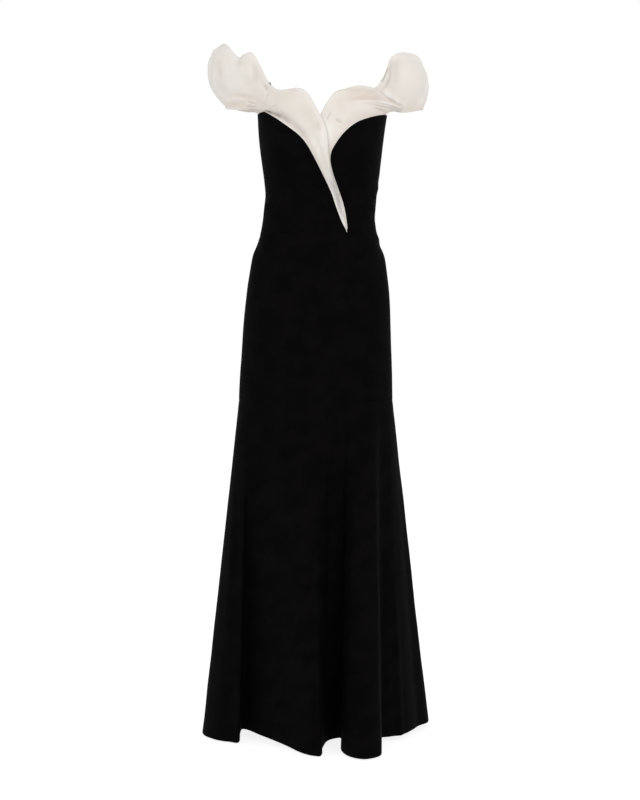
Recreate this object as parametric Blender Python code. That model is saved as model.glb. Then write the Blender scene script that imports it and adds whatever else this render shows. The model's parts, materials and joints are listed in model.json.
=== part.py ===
"""Trumpet gown in black crepe with an ivory organza lily collar, worn and empty.

Units are metres. +Z is up, the front faces -Y, and the origin is the middle of the waist.
"right" and "left" are the wearer's, so the right side lies at -X.
"""
import math
from collections import namedtuple

import bmesh
import bpy
import numpy as np
from mathutils import Vector

# Cloth
CREPE_WALL = 0.0020
ORGANZA_WALL = 0.0012
SEAM_GAP = 0.0003
CREASE_ANGLE = math.radians(50)

# Levels of the seams and edges
WAIST_SEAM = -0.071
BODICE_BOTTOM = WAIST_SEAM + SEAM_GAP / 2
TRUMPET_SEAM = -0.429
HEM = -1.161
SIDE_TOP = 0.196
BACK_TOP = 0.168

# Body rings: 2 is an ellipse, and a higher number is squarer
SQUARENESS = 2.3
TURN_GAP = 0.05
FRONT_TURNS = (TURN_GAP, 180 - TURN_GAP)
BACK_LEFT_TURNS = (180 + TURN_GAP, 270 - TURN_GAP)
BACK_RIGHT_TURNS = (270 + TURN_GAP, 360 - TURN_GAP)

# Bust darts raise a soft cup on each side of the front
CUP_CENTRES = (-0.070, 0.074)
CUP_LEVEL = 0.120
CUP_DEPTH = 0.012
CUP_HALF_WIDTH = 0.045
CUP_HALF_HEIGHT = 0.050

# A shallow trough runs from the hip into the flare's middle fold
TROUGH_X = 0.053
TROUGH_DEPTH = 0.003
TROUGH_HALF_WIDTH = 0.020
TROUGH_TOP = -0.180

# Grid steps of each piece
PANEL_ROWS = 20
BACK_PANEL_ROWS = 12
FRONT_PANEL_COLUMNS = 13
BACK_PANEL_COLUMNS = 9
SKIRT_ROWS = 10
SKIRT_FRONT_COLUMNS = 24
SKIRT_BACK_COLUMNS = 12
FLARE_ROWS = 6
FLARE_FRONT_COLUMNS = 78
FLARE_BACK_COLUMNS = 36
PETAL_COLUMNS = 7
FLOUNCE_ROWS = 9
FLOUNCE_COLUMNS = 34
STRAP_STEPS = 22

# Concealed zip in the centre back seam
ZIP_TOP = 0.160
ZIP_BOTTOM = -0.270
TAPE_EDGE = 0.0004
TAPE_WIDTH = 0.0120
TAPE_WALL = 0.0010
TAPE_CLEARANCE = 0.0010
TAPE_ROWS = 24
SLIDER_TOP = 0.162
SLIDER_WIDTH = 0.0072
SLIDER_HEIGHT = 0.0090
SLIDER_DEPTH = 0.0022
LUG_WIDTH = 0.0010
LUG_REACH = 0.0027
LUG_RADIUS = 0.0014
PIN_RADIUS = 0.0006
PIN_STAND = 0.0022
PIN_DROP = 0.0025
PIN_SIDE_GAP = 0.0004
EYE_INNER = 0.0010
EYE_OUTER = 0.0017
TAB_WIDTH = 0.0056
TAB_TIP_WIDTH = 0.0034
TAB_NECK = 0.0042
TAB_SHOULDER = 0.0071
TAB_CORNER = 0.0176
TAB_LENGTH = 0.0200
TAB_WALL = 0.0012
ROUND_SIDES = 16

# A petal starts just behind the black edge, swells most near that edge, and its rim rises a little
PETAL_INSET = 0.0004
PETAL_SEAM_GAP = 2 * SEAM_GAP
SWELL_LEAN = 0.8
RIM_RISE = 0.3

# Steps along the edges that their directions are read from, and the share just inside a low edge
SEAM_STEP = 0.005
STRAP_STEP = 0.01
LOW_EDGE_SHARE = 0.02

# Each flounce starts tucked behind its petal and is free after this share of its length
FLOUNCE_BLEND = 0.16
FLOUNCE_TUCK = 0.006
FLOUNCE_CLEARANCE = 0.0014
FLOUNCE_LIFT = 0.06
FLOUNCE_REACH = 0.040
FLOUNCE_LEAN = 1.0

STRAP_WIDTH = 0.0060
STRAP_WALL = 0.0012
STRAP_TUCK = 0.025
STRAP_FRONT_CLEARANCE = 0.0030
STRAP_BACK_CLEARANCE = 0.00085

Section = namedtuple("Section", "z right left front back")
SECTIONS = [
    Section(-0.430, 0.1794, 0.1588, 0.119, 0.122),
    Section(-0.350, 0.1752, 0.1566, 0.117, 0.126),
    Section(-0.271, 0.1694, 0.1544, 0.115, 0.132),
    Section(-0.191, 0.1619, 0.1507, 0.112, 0.127),
    Section(-0.139, 0.1533, 0.1451, 0.108, 0.116),
    Section(-0.112, 0.1480, 0.1398, 0.105, 0.108),
    Section(-0.086, 0.1382, 0.1300, 0.101, 0.099),
    Section(-0.059, 0.1308, 0.1238, 0.098, 0.091),
    Section(-0.033, 0.1264, 0.1199, 0.095, 0.085),
    Section(-0.007, 0.1236, 0.1217, 0.095, 0.083),
    Section(0.020, 0.1210, 0.1245, 0.099, 0.085),
    Section(0.046, 0.1230, 0.1278, 0.107, 0.089),
    Section(0.086, 0.1281, 0.1324, 0.121, 0.095),
    Section(0.125, 0.1329, 0.1372, 0.128, 0.098),
    Section(0.165, 0.1364, 0.1422, 0.124, 0.096),
    Section(0.191, 0.1379, 0.1459, 0.116, 0.093),
    Section(0.225, 0.1420, 0.1510, 0.104, 0.090),
    Section(0.262, 0.1500, 0.1580, 0.092, 0.088),
]

# The black neckline edges, from the point at the waist up to the armholes
Edge = namedtuple("Edge", "x z")
NECK_RIGHT = [
    Edge(0.0569, BODICE_BOTTOM), Edge(0.0455, -0.0485), Edge(0.0326, -0.0143), Edge(0.0230, 0.0137),
    Edge(0.0062, 0.0479), Edge(-0.0129, 0.0836), Edge(-0.0278, 0.1086), Edge(-0.0430, 0.1271),
    Edge(-0.0698, 0.1501), Edge(-0.1006, 0.1765), Edge(-0.1206, 0.1925),
]
NECK_LEFT = [
    Edge(0.0585, BODICE_BOTTOM), Edge(0.0562, -0.0482), Edge(0.0502, -0.0138), Edge(0.0362, 0.0268),
    Edge(0.0270, 0.0517), Edge(0.0212, 0.0766), Edge(0.0230, 0.0946), Edge(0.0325, 0.1123),
    Edge(0.0512, 0.1366), Edge(0.0779, 0.1599), Edge(0.1052, 0.1741), Edge(0.1370, 0.1885),
]

# The hem in plan: where each ridge and valley of the flare ends, and the turn it falls from
Fold = namedtuple("Fold", "turn x y lift")
FRONT_FOLDS = [
    Fold(0, -0.2573, -0.011, 0.000), Fold(12, -0.2290, -0.058, 0.000), Fold(22, -0.1976, -0.080, 0.000),
    Fold(29, -0.1755, -0.086, 0.000), Fold(34, -0.1740, -0.058, 0.010), Fold(40, -0.1680, -0.032, 0.016),
    Fold(50, -0.1250, -0.078, 0.012), Fold(62, -0.0735, -0.133, 0.005), Fold(74, -0.0365, -0.179, 0.000),
    Fold(87, 0.0000, -0.203, 0.000), Fold(95, 0.0040, -0.160, 0.005), Fold(101, 0.0170, -0.114, 0.011),
    Fold(107, 0.0435, -0.098, 0.012), Fold(112, 0.0430, -0.160, 0.002), Fold(118, 0.0584, -0.203, 0.000),
    Fold(126, 0.0891, -0.226, 0.000), Fold(134, 0.1213, -0.203, 0.000), Fold(138, 0.1274, -0.168, 0.001),
    Fold(143, 0.1230, -0.098, 0.010), Fold(150, 0.1480, -0.072, 0.009), Fold(157, 0.1760, -0.052, 0.008),
    Fold(165, 0.2040, -0.010, 0.010), Fold(171, 0.2180, 0.024, 0.010), Fold(180, 0.2392, 0.055, 0.010),
]
BACK_FOLDS = [
    Fold(180, 0.2392, 0.055, 0.010), Fold(190, 0.2440, 0.102, 0.006), Fold(201, 0.2140, 0.136, 0.004),
    Fold(212, 0.1720, 0.142, 0.004), Fold(224, 0.1480, 0.196, 0.002), Fold(236, 0.1060, 0.232, 0.000),
    Fold(246, 0.0720, 0.192, 0.002), Fold(256, 0.0460, 0.180, 0.002), Fold(265, 0.0240, 0.226, 0.000),
    Fold(274, -0.0180, 0.252, 0.000), Fold(285, -0.0560, 0.214, 0.000), Fold(296, -0.0780, 0.178, 0.002),
    Fold(306, -0.1100, 0.190, 0.002), Fold(316, -0.1480, 0.214, 0.000), Fold(327, -0.1800, 0.172, 0.002),
    Fold(337, -0.1980, 0.132, 0.003), Fold(346, -0.2330, 0.114, 0.001), Fold(353, -0.2560, 0.066, 0.000),
    Fold(360, -0.2573, -0.011, 0.000),
]

# The collar petals' free edges. share is the way along the black edge, x and z the place of the
# free edge, stand how far it stands off the body, and swell the rise of the petal's middle.
Petal = namedtuple("Petal", "share x z stand swell")
PETAL_RIGHT = [
    Petal(0.01, 0.0566, -0.0704, 0.0014, 0.0000), Petal(0.12, 0.0506, -0.0400, 0.0030, 0.0006),
    Petal(0.20, 0.0446, -0.0130, 0.0036, 0.0010), Petal(0.29, 0.0370, 0.0160, 0.0045, 0.0012),
    Petal(0.39, 0.0244, 0.0470, 0.0058, 0.0016), Petal(0.50, 0.0169, 0.0874, 0.0070, 0.0030),
    Petal(0.58, 0.0143, 0.1280, 0.0080, 0.0050), Petal(0.645, 0.0064, 0.1558, 0.0100, 0.0070),
    Petal(0.70, -0.0021, 0.1713, 0.0130, 0.0080), Petal(0.75, -0.0163, 0.1979, 0.0170, 0.0090),
    Petal(0.80, -0.0296, 0.2185, 0.0200, 0.0095), Petal(0.855, -0.0487, 0.2278, 0.0200, 0.0095),
    Petal(0.91, -0.0744, 0.2272, 0.0150, 0.0090), Petal(0.955, -0.0910, 0.2307, 0.0090, 0.0080),
    Petal(1.00, -0.1047, 0.2424, 0.0050, 0.0070),
]
PETAL_LEFT = [
    Petal(0.020, 0.0568, -0.0650, 0.0006, 0.0000), Petal(0.14, 0.0484, -0.0250, 0.0006, 0.0000),
    Petal(0.21, 0.0370, -0.0060, 0.0006, 0.0000), Petal(0.29, 0.0245, 0.0264, 0.0008, 0.0002),
    Petal(0.36, 0.0127, 0.0504, 0.0010, 0.0004), Petal(0.43, 0.0053, 0.0762, 0.0014, 0.0008),
    Petal(0.48, 0.0011, 0.0982, 0.0020, 0.0016), Petal(0.53, -0.0021, 0.1225, 0.0030, 0.0030),
    Petal(0.60, -0.0032, 0.1467, 0.0044, 0.0040), Petal(0.66, -0.0005, 0.1681, 0.0070, 0.0055),
    Petal(0.715, 0.0147, 0.1985, 0.0140, 0.0075), Petal(0.76, 0.0310, 0.2190, 0.0180, 0.0090),
    Petal(0.805, 0.0529, 0.2257, 0.0200, 0.0095), Petal(0.85, 0.0742, 0.2335, 0.0200, 0.0095),
    Petal(0.90, 0.0914, 0.2365, 0.0180, 0.0090), Petal(0.95, 0.1105, 0.2354, 0.0130, 0.0080),
    Petal(1.00, 0.1223, 0.2340, 0.0100, 0.0070),
]

# Past its black edge the left petal tapers out in front of the arm
Taper = namedtuple("Taper", "share low_x low_y low_z high_x high_y high_z swell")
PETAL_LEFT_TAPER = [
    Taper(1.05, 0.1560, -0.0490, 0.1965, 0.1417, -0.0660, 0.2222, 0.00300),
    Taper(1.10, 0.1700, -0.0465, 0.1990, 0.1585, -0.0570, 0.2132, 0.00150),
    Taper(1.15, 0.1830, -0.0430, 0.2030, 0.1810, -0.0460, 0.2055, 0.00060),
]

# Where the petals' rows stop short of the point at the waist and, on the left, run on past the edge
PETAL_RIGHT_START = 0.01
PETAL_LEFT_START = 0.02
PETAL_LEFT_PAST_EDGE = [1.025, 1.05, 1.10, 1.145]

# The shoulder flounces, a row for each wave: the edge that hugs the arm, the free rim, and the
# swell of the cloth between them
Wave = namedtuple("Wave", "low_x low_y low_z rim_x rim_y rim_z swell")
FLOUNCE_RIGHT = [
    Wave(-0.1230, -0.0560, 0.1960, -0.1060, -0.0740, 0.2455, 0.012),
    Wave(-0.1460, -0.0540, 0.1995, -0.1260, -0.0740, 0.2890, 0.020),
    Wave(-0.1640, -0.0490, 0.2000, -0.1475, -0.0620, 0.3190, 0.024),
    Wave(-0.1810, -0.0410, 0.2010, -0.1640, -0.0500, 0.3195, 0.025),
    Wave(-0.1950, -0.0280, 0.2050, -0.1770, -0.0340, 0.3160, 0.026),
    Wave(-0.2046, -0.0120, 0.2088, -0.1900, -0.0210, 0.3300, 0.028),
    Wave(-0.2090, 0.0060, 0.2158, -0.2030, -0.0070, 0.3475, 0.029),
    Wave(-0.2108, 0.0240, 0.2210, -0.2160, 0.0110, 0.3565, 0.029),
    Wave(-0.2078, 0.0440, 0.2228, -0.2420, 0.0400, 0.3435, 0.029),
    Wave(-0.1940, 0.0680, 0.2245, -0.2430, 0.0820, 0.3250, 0.026),
    Wave(-0.1660, 0.0860, 0.2225, -0.2020, 0.1160, 0.3050, 0.020),
    Wave(-0.1410, 0.0930, 0.2200, -0.1520, 0.1220, 0.2700, 0.012),
    Wave(-0.1120, 0.0945, 0.1870, -0.1080, 0.1080, 0.2180, 0.003),
]
FLOUNCE_LEFT = [
    Wave(0.1270, -0.0460, 0.2030, 0.1240, -0.0620, 0.2490, 0.006),
    Wave(0.1500, -0.0400, 0.2030, 0.1430, -0.0520, 0.2890, 0.012),
    Wave(0.1710, -0.0400, 0.1962, 0.1530, -0.0440, 0.3130, 0.018),
    Wave(0.1910, -0.0300, 0.1980, 0.1700, -0.0360, 0.3250, 0.025),
    Wave(0.2140, -0.0100, 0.2060, 0.1920, -0.0140, 0.3310, 0.026),
    Wave(0.2255, 0.0160, 0.2155, 0.2145, 0.0160, 0.3310, 0.018),
    Wave(0.2245, 0.0450, 0.2185, 0.2290, 0.0520, 0.3180, 0.016),
    Wave(0.1940, 0.0700, 0.2195, 0.2160, 0.0920, 0.3020, 0.019),
    Wave(0.1580, 0.0850, 0.2225, 0.1800, 0.1150, 0.2840, 0.017),
    Wave(0.1370, 0.0920, 0.2070, 0.1440, 0.1190, 0.2560, 0.010),
    Wave(0.1140, 0.0945, 0.1870, 0.1120, 0.1070, 0.2170, 0.003),
]
ARM_CENTRES = {"right": (-0.165, 0.015), "left": (0.168, 0.020)}

# How far along its petal each flounce comes out, and the two places the cloth's run is read from
FLOUNCE_JOIN = {"right": 1.0, "left": 0.97}
JOIN_STEP = 0.01

# Where each strap passes over the shoulder, from front to back, and the turns and levels it ends at
Crest = namedtuple("Crest", "x y z")
StrapEnd = namedtuple("StrapEnd", "turn level clearance")
STRAP_RIGHT = [
    Crest(-0.1085, -0.057, 0.2500), Crest(-0.1310, -0.046, 0.2690), Crest(-0.1440, -0.032, 0.2960),
    Crest(-0.1460, -0.005, 0.3080), Crest(-0.1400, 0.030, 0.2980), Crest(-0.1200, 0.056, 0.2500),
]
STRAP_LEFT = [
    Crest(0.1300, -0.046, 0.2520), Crest(0.1440, -0.034, 0.2800), Crest(0.1520, -0.024, 0.2985),
    Crest(0.1560, -0.002, 0.3080), Crest(0.1490, 0.030, 0.2980), Crest(0.1260, 0.056, 0.2500),
]
STRAP_RIGHT_ENDS = (StrapEnd(30, 0.185, STRAP_FRONT_CLEARANCE), StrapEnd(318, 0.170, STRAP_BACK_CLEARANCE))
STRAP_LEFT_ENDS = (StrapEnd(150, 0.183, STRAP_FRONT_CLEARANCE), StrapEnd(222, 0.170, STRAP_BACK_CLEARANCE))
STRAP_LEAN = (0.5, -0.2, 1.0)


def curve_through(points):
    """A smooth curve through the points, read at a share of its chord length from 0 to 1."""
    points = np.array(points, dtype=float)
    steps = np.linalg.norm(np.diff(points, axis=0), axis=1)
    at = np.concatenate([[0.0], np.cumsum(steps)]) / steps.sum()
    return lambda share: smooth_rows(at, points, share)


def smooth_rows(at, rows, value):
    """Rows of numbers read between their places, with no kink at a row."""
    value = min(max(value, at[0]), at[-1])
    low = min(max(int(np.searchsorted(at, value)) - 1, 0), len(at) - 2)
    step = at[low + 1] - at[low]
    share = (value - at[low]) / step
    slopes = [row_slope(at, rows, low), row_slope(at, rows, low + 1)]
    square, cube = share ** 2, share ** 3
    return ((2 * cube - 3 * square + 1) * rows[low] + (cube - 2 * square + share) * step * slopes[0]
            + (3 * square - 2 * cube) * rows[low + 1] + (cube - square) * step * slopes[1])


def row_slope(at, rows, index):
    """How fast the rows change at one of them, from its neighbours."""
    before, after = max(index - 1, 0), min(index + 1, len(at) - 1)
    return (rows[after] - rows[before]) / (at[after] - at[before])


def ease(share):
    """0 to 1 with a soft start and end."""
    share = min(max(share, 0.0), 1.0)
    return share * share * (3 - 2 * share)


def arch(share, lean):
    """0 at both ends and 1 between them, nearer the start where lean is below 1."""
    return math.sin(math.pi * min(max(share, 0.0), 1.0) ** lean)


def bell(distance, half_width):
    """1 at the middle, fading to nothing on both sides."""
    return math.exp(-(distance / half_width) ** 2)


SECTION_LEVELS = np.array([row.z for row in SECTIONS])
SECTION_SIZES = np.array([row[1:] for row in SECTIONS])


def front_relief(x, z):
    """How far the darts and the hip trough push the front out of its plain section."""
    cups = sum(bell(x - centre, CUP_HALF_WIDTH) for centre in CUP_CENTRES)
    fade = ease((TROUGH_TOP - z) / (TROUGH_TOP - TRUMPET_SEAM))
    return (CUP_DEPTH * cups * bell(z - CUP_LEVEL, CUP_HALF_HEIGHT)
            - TROUGH_DEPTH * fade * bell(x - TROUGH_X, TROUGH_HALF_WIDTH))


def body_point(turn, z):
    """A point of the cloth. Turn 0 is the right side seam, 90 the centre front, 270 the centre back."""
    right, left, front, back = smooth_rows(SECTION_LEVELS, SECTION_SIZES, z)
    across, along = math.cos(math.radians(turn)), math.sin(math.radians(turn))
    power = 2 / SQUARENESS
    x = (left - right) / 2 - (left + right) / 2 * math.copysign(abs(across) ** power, across)
    y = -(front if along > 0 else back) * math.copysign(abs(along) ** power, along)
    if along > 0:
        y -= front_relief(x, z) * along
    return np.array((x, y, z))


def turn_at(x, z):
    """The turn on the front where the cloth passes over x."""
    right, left, _, _ = smooth_rows(SECTION_LEVELS, SECTION_SIZES, z)
    across = ((left - right) / 2 - x) / ((left + right) / 2)
    across = min(max(across, -1.0), 1.0)
    return math.degrees(math.acos(math.copysign(abs(across) ** (SQUARENESS / 2), across)))


def front_point(x, z, stand=0.0):
    """The front cloth at x and z, moved out towards the front by stand."""
    point = body_point(turn_at(x, z), z)
    return point - np.array((0.0, stand, 0.0))


def normal_of(surface, u, v, step=1e-4):
    """The unit normal of a surface of two values."""
    along = surface(u + step, v) - surface(u - step, v)
    up = surface(u, v + step) - surface(u, v - step)
    normal = np.cross(along, up)
    return normal / np.linalg.norm(normal)


def material(name, colour, roughness, metallic=0.0):
    made = bpy.data.materials.new(name)
    made.use_nodes = True
    shader = made.node_tree.nodes["Principled BSDF"]
    shader.inputs["Base Color"].default_value = (*colour, 1.0)
    shader.inputs["Roughness"].default_value = roughness
    shader.inputs["Metallic"].default_value = metallic
    return made


def place(name, mesh, finish, location=(0, 0, 0)):
    """A named object for a finished mesh."""
    made = bpy.data.objects.new(name, mesh)
    made.location = location
    mesh.materials.append(finish)
    bpy.context.scene.collection.objects.link(made)
    return made


def body_of(name, work, finish, location=(0, 0, 0)):
    """The finished object of a closed bmesh, its faces turned out."""
    bmesh.ops.recalc_face_normals(work, faces=work.faces)
    mesh = bpy.data.meshes.new(name)
    work.to_mesh(mesh)
    work.free()
    return place(name, mesh, finish, location)


def shell(name, outer, inner, finish):
    """One closed body between two equal grids of points."""
    rows, columns = outer.shape[:2]
    work = bmesh.new()
    grids = [[[work.verts.new(point) for point in row] for row in grid] for grid in (outer, inner)]
    for grid in grids:
        for row in range(rows - 1):
            for column in range(columns - 1):
                work.faces.new((grid[row][column], grid[row][column + 1],
                                grid[row + 1][column + 1], grid[row + 1][column]))
    border = [(0, column) for column in range(columns)]
    border += [(row, columns - 1) for row in range(1, rows)]
    border += [(rows - 1, column) for column in range(columns - 2, -1, -1)]
    border += [(row, 0) for row in range(rows - 2, 0, -1)]
    for here, after in zip(border, border[1:] + border[:1]):
        work.faces.new((grids[0][here[0]][here[1]], grids[0][after[0]][after[1]],
                        grids[1][after[0]][after[1]], grids[1][here[0]][here[1]]))
    bmesh.ops.triangulate(work, faces=work.faces)
    made = body_of(name, work, finish)
    made.data.shade_smooth()
    made.data.set_sharp_from_angle(angle=CREASE_ANGLE)
    return made


def wall(name, surface, columns, rows, thickness, finish, outward=1.0, edge_normal=None, level_rows=()):
    """A piece of cloth: surface(u, v) gives its outer face, and the wall goes in from it.

    edge_normal gives the way out along the first column, where the piece meets its neighbour.
    The edges in level_rows are seams round the body, whose faces are kept level.
    """
    outer = np.array([[surface(u, v) for u in columns] for v in rows])
    normals = np.array([[outward * normal_of(surface, u, v) for u in columns] for v in rows])
    if edge_normal is not None:
        normals[:, 0] = [edge_normal(v) for v in rows]
    for row in level_rows:
        normals[row, :, 2] = 0.0
        normals[row] /= np.linalg.norm(normals[row], axis=1)[:, None]
    return shell(name, outer, outer - normals * thickness, finish)


def spread(start, end, count):
    """Evenly spaced values, both ends included, count steps apart."""
    return [start + (end - start) * index / count for index in range(count + 1)]


NECK = {"right": curve_through(NECK_RIGHT), "left": curve_through(NECK_LEFT)}
SIDE_TURN = {"right": FRONT_TURNS[0], "left": FRONT_TURNS[1]}


def bodice_front(side, finish):
    """A front panel from the side seam (u = 0) to the neckline edge (u = 1)."""
    side_turn = SIDE_TURN[side]

    def surface(u, v):
        x, z = NECK[side](v)
        level = BODICE_BOTTOM + (SIDE_TOP - BODICE_BOTTOM) * v
        return body_point(side_turn + (turn_at(x, z) - side_turn) * u, level + (z - level) * u)
    outward = 1.0 if side == "right" else -1.0
    return wall(f"bodice_front_{side}", surface, spread(0, 1, FRONT_PANEL_COLUMNS),
                spread(0, 1, PANEL_ROWS), CREPE_WALL, finish, outward, level_rows=(0,))


def back_top(turn):
    """The top edge of the back dips from the side seams to the zip."""
    across = abs(math.cos(math.radians(turn)))
    return BACK_TOP + (SIDE_TOP - BACK_TOP) * across ** 2


def bodice_back(side, turns, finish):
    """A back panel from the side seam to the zip."""
    def surface(turn, v):
        return body_point(turn, BODICE_BOTTOM + (back_top(turn) - BODICE_BOTTOM) * v)
    return wall(f"bodice_back_{side}", surface, spread(*turns, BACK_PANEL_COLUMNS),
                spread(0, 1, BACK_PANEL_ROWS), CREPE_WALL, finish, level_rows=(0,))


def skirt(name, turns, columns, finish):
    """A panel from the waist seam down to the trumpet seam."""
    levels = spread(TRUMPET_SEAM + SEAM_GAP / 2, WAIST_SEAM - SEAM_GAP / 2, SKIRT_ROWS)
    return wall(name, body_point, spread(*turns, columns), levels, CREPE_WALL, finish,
                level_rows=(0, -1))


class HemLine:
    """The hem in plan, all the way round, read at a turn of the seam above it."""

    def __init__(self, folds):
        before = [fold._replace(turn=fold.turn - 360) for fold in folds[-4:-1]]
        after = [fold._replace(turn=fold.turn + 360) for fold in folds[1:4]]
        folds = before + folds + after
        places = np.array([(fold.x, fold.y, fold.lift) for fold in folds])
        steps = np.linalg.norm(np.diff(places[:, :2], axis=0), axis=1)
        self.reach = np.concatenate([[0.0], np.cumsum(steps)]) / steps.sum()
        self.turns = np.array([fold.turn for fold in folds], dtype=float)
        self.places = places

    def point(self, turn):
        x, y, lift = smooth_rows(self.reach, self.places, np.interp(turn, self.turns, self.reach))
        return np.array((x, y, HEM + lift))

    def turn(self, share):
        return float(np.interp(share, self.reach, self.turns))


def flare(name, hem, turns, columns, finish):
    """A stretch of the trumpet: straight falls of cloth from the seam to the hem."""
    def surface(turn, drop):
        top = body_point(turn, TRUMPET_SEAM - SEAM_GAP / 2)
        return top + (hem.point(turn) - top) * drop
    shares = [float(np.interp(turn, hem.turns, hem.reach)) for turn in turns]
    turn_steps = [hem.turn(share) for share in spread(*shares, columns)]
    return wall(name, surface, turn_steps, spread(0, 1, FLARE_ROWS), CREPE_WALL, finish,
                outward=-1.0, level_rows=(0,))


class PetalForm:
    """A collar petal between its black edge (s = 0) and its free edge (s = 1)."""

    def __init__(self, side, rows, taper=()):
        self.side = side
        self.shares = np.array([row.share for row in (*rows, *taper)])
        self.swell = np.array([row.swell for row in (*rows, *taper)])
        free = [front_point(row.x, row.z, row.stand) for row in rows]
        self.free = np.array(free + [(row.high_x, row.high_y, row.high_z) for row in taper])
        self.tail = np.array([self.seam(1.0)] + [(row.low_x, row.low_y, row.low_z) for row in taper])

    def seam(self, share):
        """The black edge, just inside the cloth's outer face and one gap away from its cut end."""
        edge = NECK[self.side]
        share = min(share, 1.0)
        run, rise = edge(min(share + SEAM_STEP, 1.0)) - edge(share - SEAM_STEP)
        away = PETAL_SEAM_GAP / math.hypot(run, rise) * (1.0 if self.side == "right" else -1.0)
        x, z = edge(share)
        return front_point(x + rise * away, z - run * away, -PETAL_INSET)

    def low(self, share):
        """The edge sewn to the bodice and, past the end of that seam, the taper's lower edge."""
        if share <= 1.0 or len(self.tail) == 1:
            return self.seam(share)
        return smooth_rows(self.shares[-len(self.tail):], self.tail, share)

    def point(self, s, share):
        low = self.low(share)
        free = smooth_rows(self.shares, self.free, share)
        swell = smooth_rows(self.shares, self.swell, share)
        rise = np.array((0.0, -arch(s, SWELL_LEAN), RIM_RISE * s)) * swell
        return low + (free - low) * s + rise


def petal(form, name, rows, finish, outward):
    """A petal whose sewn edge stands square to the bodice."""
    def edge_normal(share):
        if share > 1.0:
            return outward * normal_of(form.point, LOW_EDGE_SHARE, share)
        x, z = NECK[form.side](share)
        return normal_of(body_point, turn_at(x, z), z)
    return wall(name, form.point, spread(0, 1, PETAL_COLUMNS), rows, ORGANZA_WALL, finish,
                outward, edge_normal)


class FlounceForm:
    """A shoulder flounce from behind its petal, round the arm, to the back neckline."""

    def __init__(self, side, waves, petal_form):
        self.low = np.array([(row.low_x, row.low_y, row.low_z) for row in waves])
        self.rim = np.array([(row.rim_x, row.rim_y, row.rim_z) for row in waves])
        self.swell = np.array([row.swell for row in waves])
        self.at = np.linspace(0.0, 1.0, len(waves))
        self.centre = np.array((*ARM_CENTRES[side], 0.0))
        self.petal_form, self.join = petal_form, FLOUNCE_JOIN[side]
        self.outward = 1.0 if side == "right" else -1.0

    def free_point(self, s, share):
        """The open flounce, s from the edge at the arm (0) to the rim (1)."""
        low = smooth_rows(self.at, self.low, share)
        rim = smooth_rows(self.at, self.rim, share)
        swell = smooth_rows(self.at, self.swell, share)
        middle = (low + rim) / 2 - self.centre
        out = np.array((middle[0], middle[1], 0.0))
        out /= np.linalg.norm(out)
        return low + (rim - low) * s + out * swell * arch(s, FLOUNCE_LEAN)

    def tucked_point(self, s, along):
        """The same cloth carried on behind the petal, along metres from where it comes out."""
        form, join = self.petal_form, self.join
        s = FLOUNCE_LIFT + (1 - FLOUNCE_LIFT) * s
        edge = form.point(s, join)
        run = edge - form.point(s, join - 2 * JOIN_STEP)
        inward = -self.outward * normal_of(form.point, max(s, LOW_EDGE_SHARE), join - JOIN_STEP)
        return edge + run / np.linalg.norm(run) * along + inward * (ORGANZA_WALL + FLOUNCE_CLEARANCE)

    def point(self, s, share):
        if share >= FLOUNCE_BLEND:
            return self.free_point(s, share)
        part = share / FLOUNCE_BLEND
        tucked = self.tucked_point(s, -FLOUNCE_TUCK + part * FLOUNCE_REACH)
        return tucked + (self.free_point(s, share) - tucked) * ease(part)


def flounce(form, name, finish, outward):
    return wall(name, form.point, spread(0, 1, FLOUNCE_ROWS), spread(0, 1, FLOUNCE_COLUMNS),
                ORGANZA_WALL, finish, outward)


def strap(name, crests, ends, finish):
    """A narrow ribbon from inside the front's top corner, over the shoulder, to inside the back."""
    def tucked(end, rise):
        inward = -normal_of(body_point, end.turn, end.level + rise)
        return body_point(end.turn, end.level + rise) + inward * (CREPE_WALL + end.clearance + STRAP_WALL / 2)
    front, back = ends
    points = [tucked(front, rise) for rise in (-STRAP_TUCK, 0.0, STRAP_TUCK)]
    points += [np.array(row) for row in crests]
    points += [tucked(back, rise) for rise in (STRAP_TUCK, 0.0, -STRAP_TUCK)]
    lean = np.array((math.copysign(STRAP_LEAN[0], crests[0].x), *STRAP_LEAN[1:]))
    facing = [normal_of(body_point, front.turn, front.level)] * 3 + [lean] * len(crests)
    facing += [normal_of(body_point, back.turn, back.level)] * 3
    curve = curve_through(points)
    facing_at = curve_through([(float(index), *way) for index, way in enumerate(facing)])
    rings = []
    for share in spread(0, 1, STRAP_STEPS):
        ahead = curve(min(share + STRAP_STEP, 1.0)) - curve(max(share - STRAP_STEP, 0.0))
        side = np.cross(ahead, facing_at(share)[1:])
        side *= STRAP_WIDTH / 2 / np.linalg.norm(side)
        out = np.cross(side, ahead)
        out *= STRAP_WALL / 2 / np.linalg.norm(out)
        rings.append([curve(share) + side * a + out * b for a, b in ((-1, -1), (1, -1), (1, 1), (-1, 1))])
    work = bmesh.new()
    loops = [[work.verts.new(point) for point in ring] for ring in rings]
    for lower, upper in zip(loops, loops[1:]):
        for corner in range(4):
            after = (corner + 1) % 4
            work.faces.new((lower[corner], lower[after], upper[after], upper[corner]))
    work.faces.new(loops[0][::-1])
    work.faces.new(loops[-1])
    bmesh.ops.triangulate(work, faces=work.faces)
    return body_of(name, work, finish)


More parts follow.
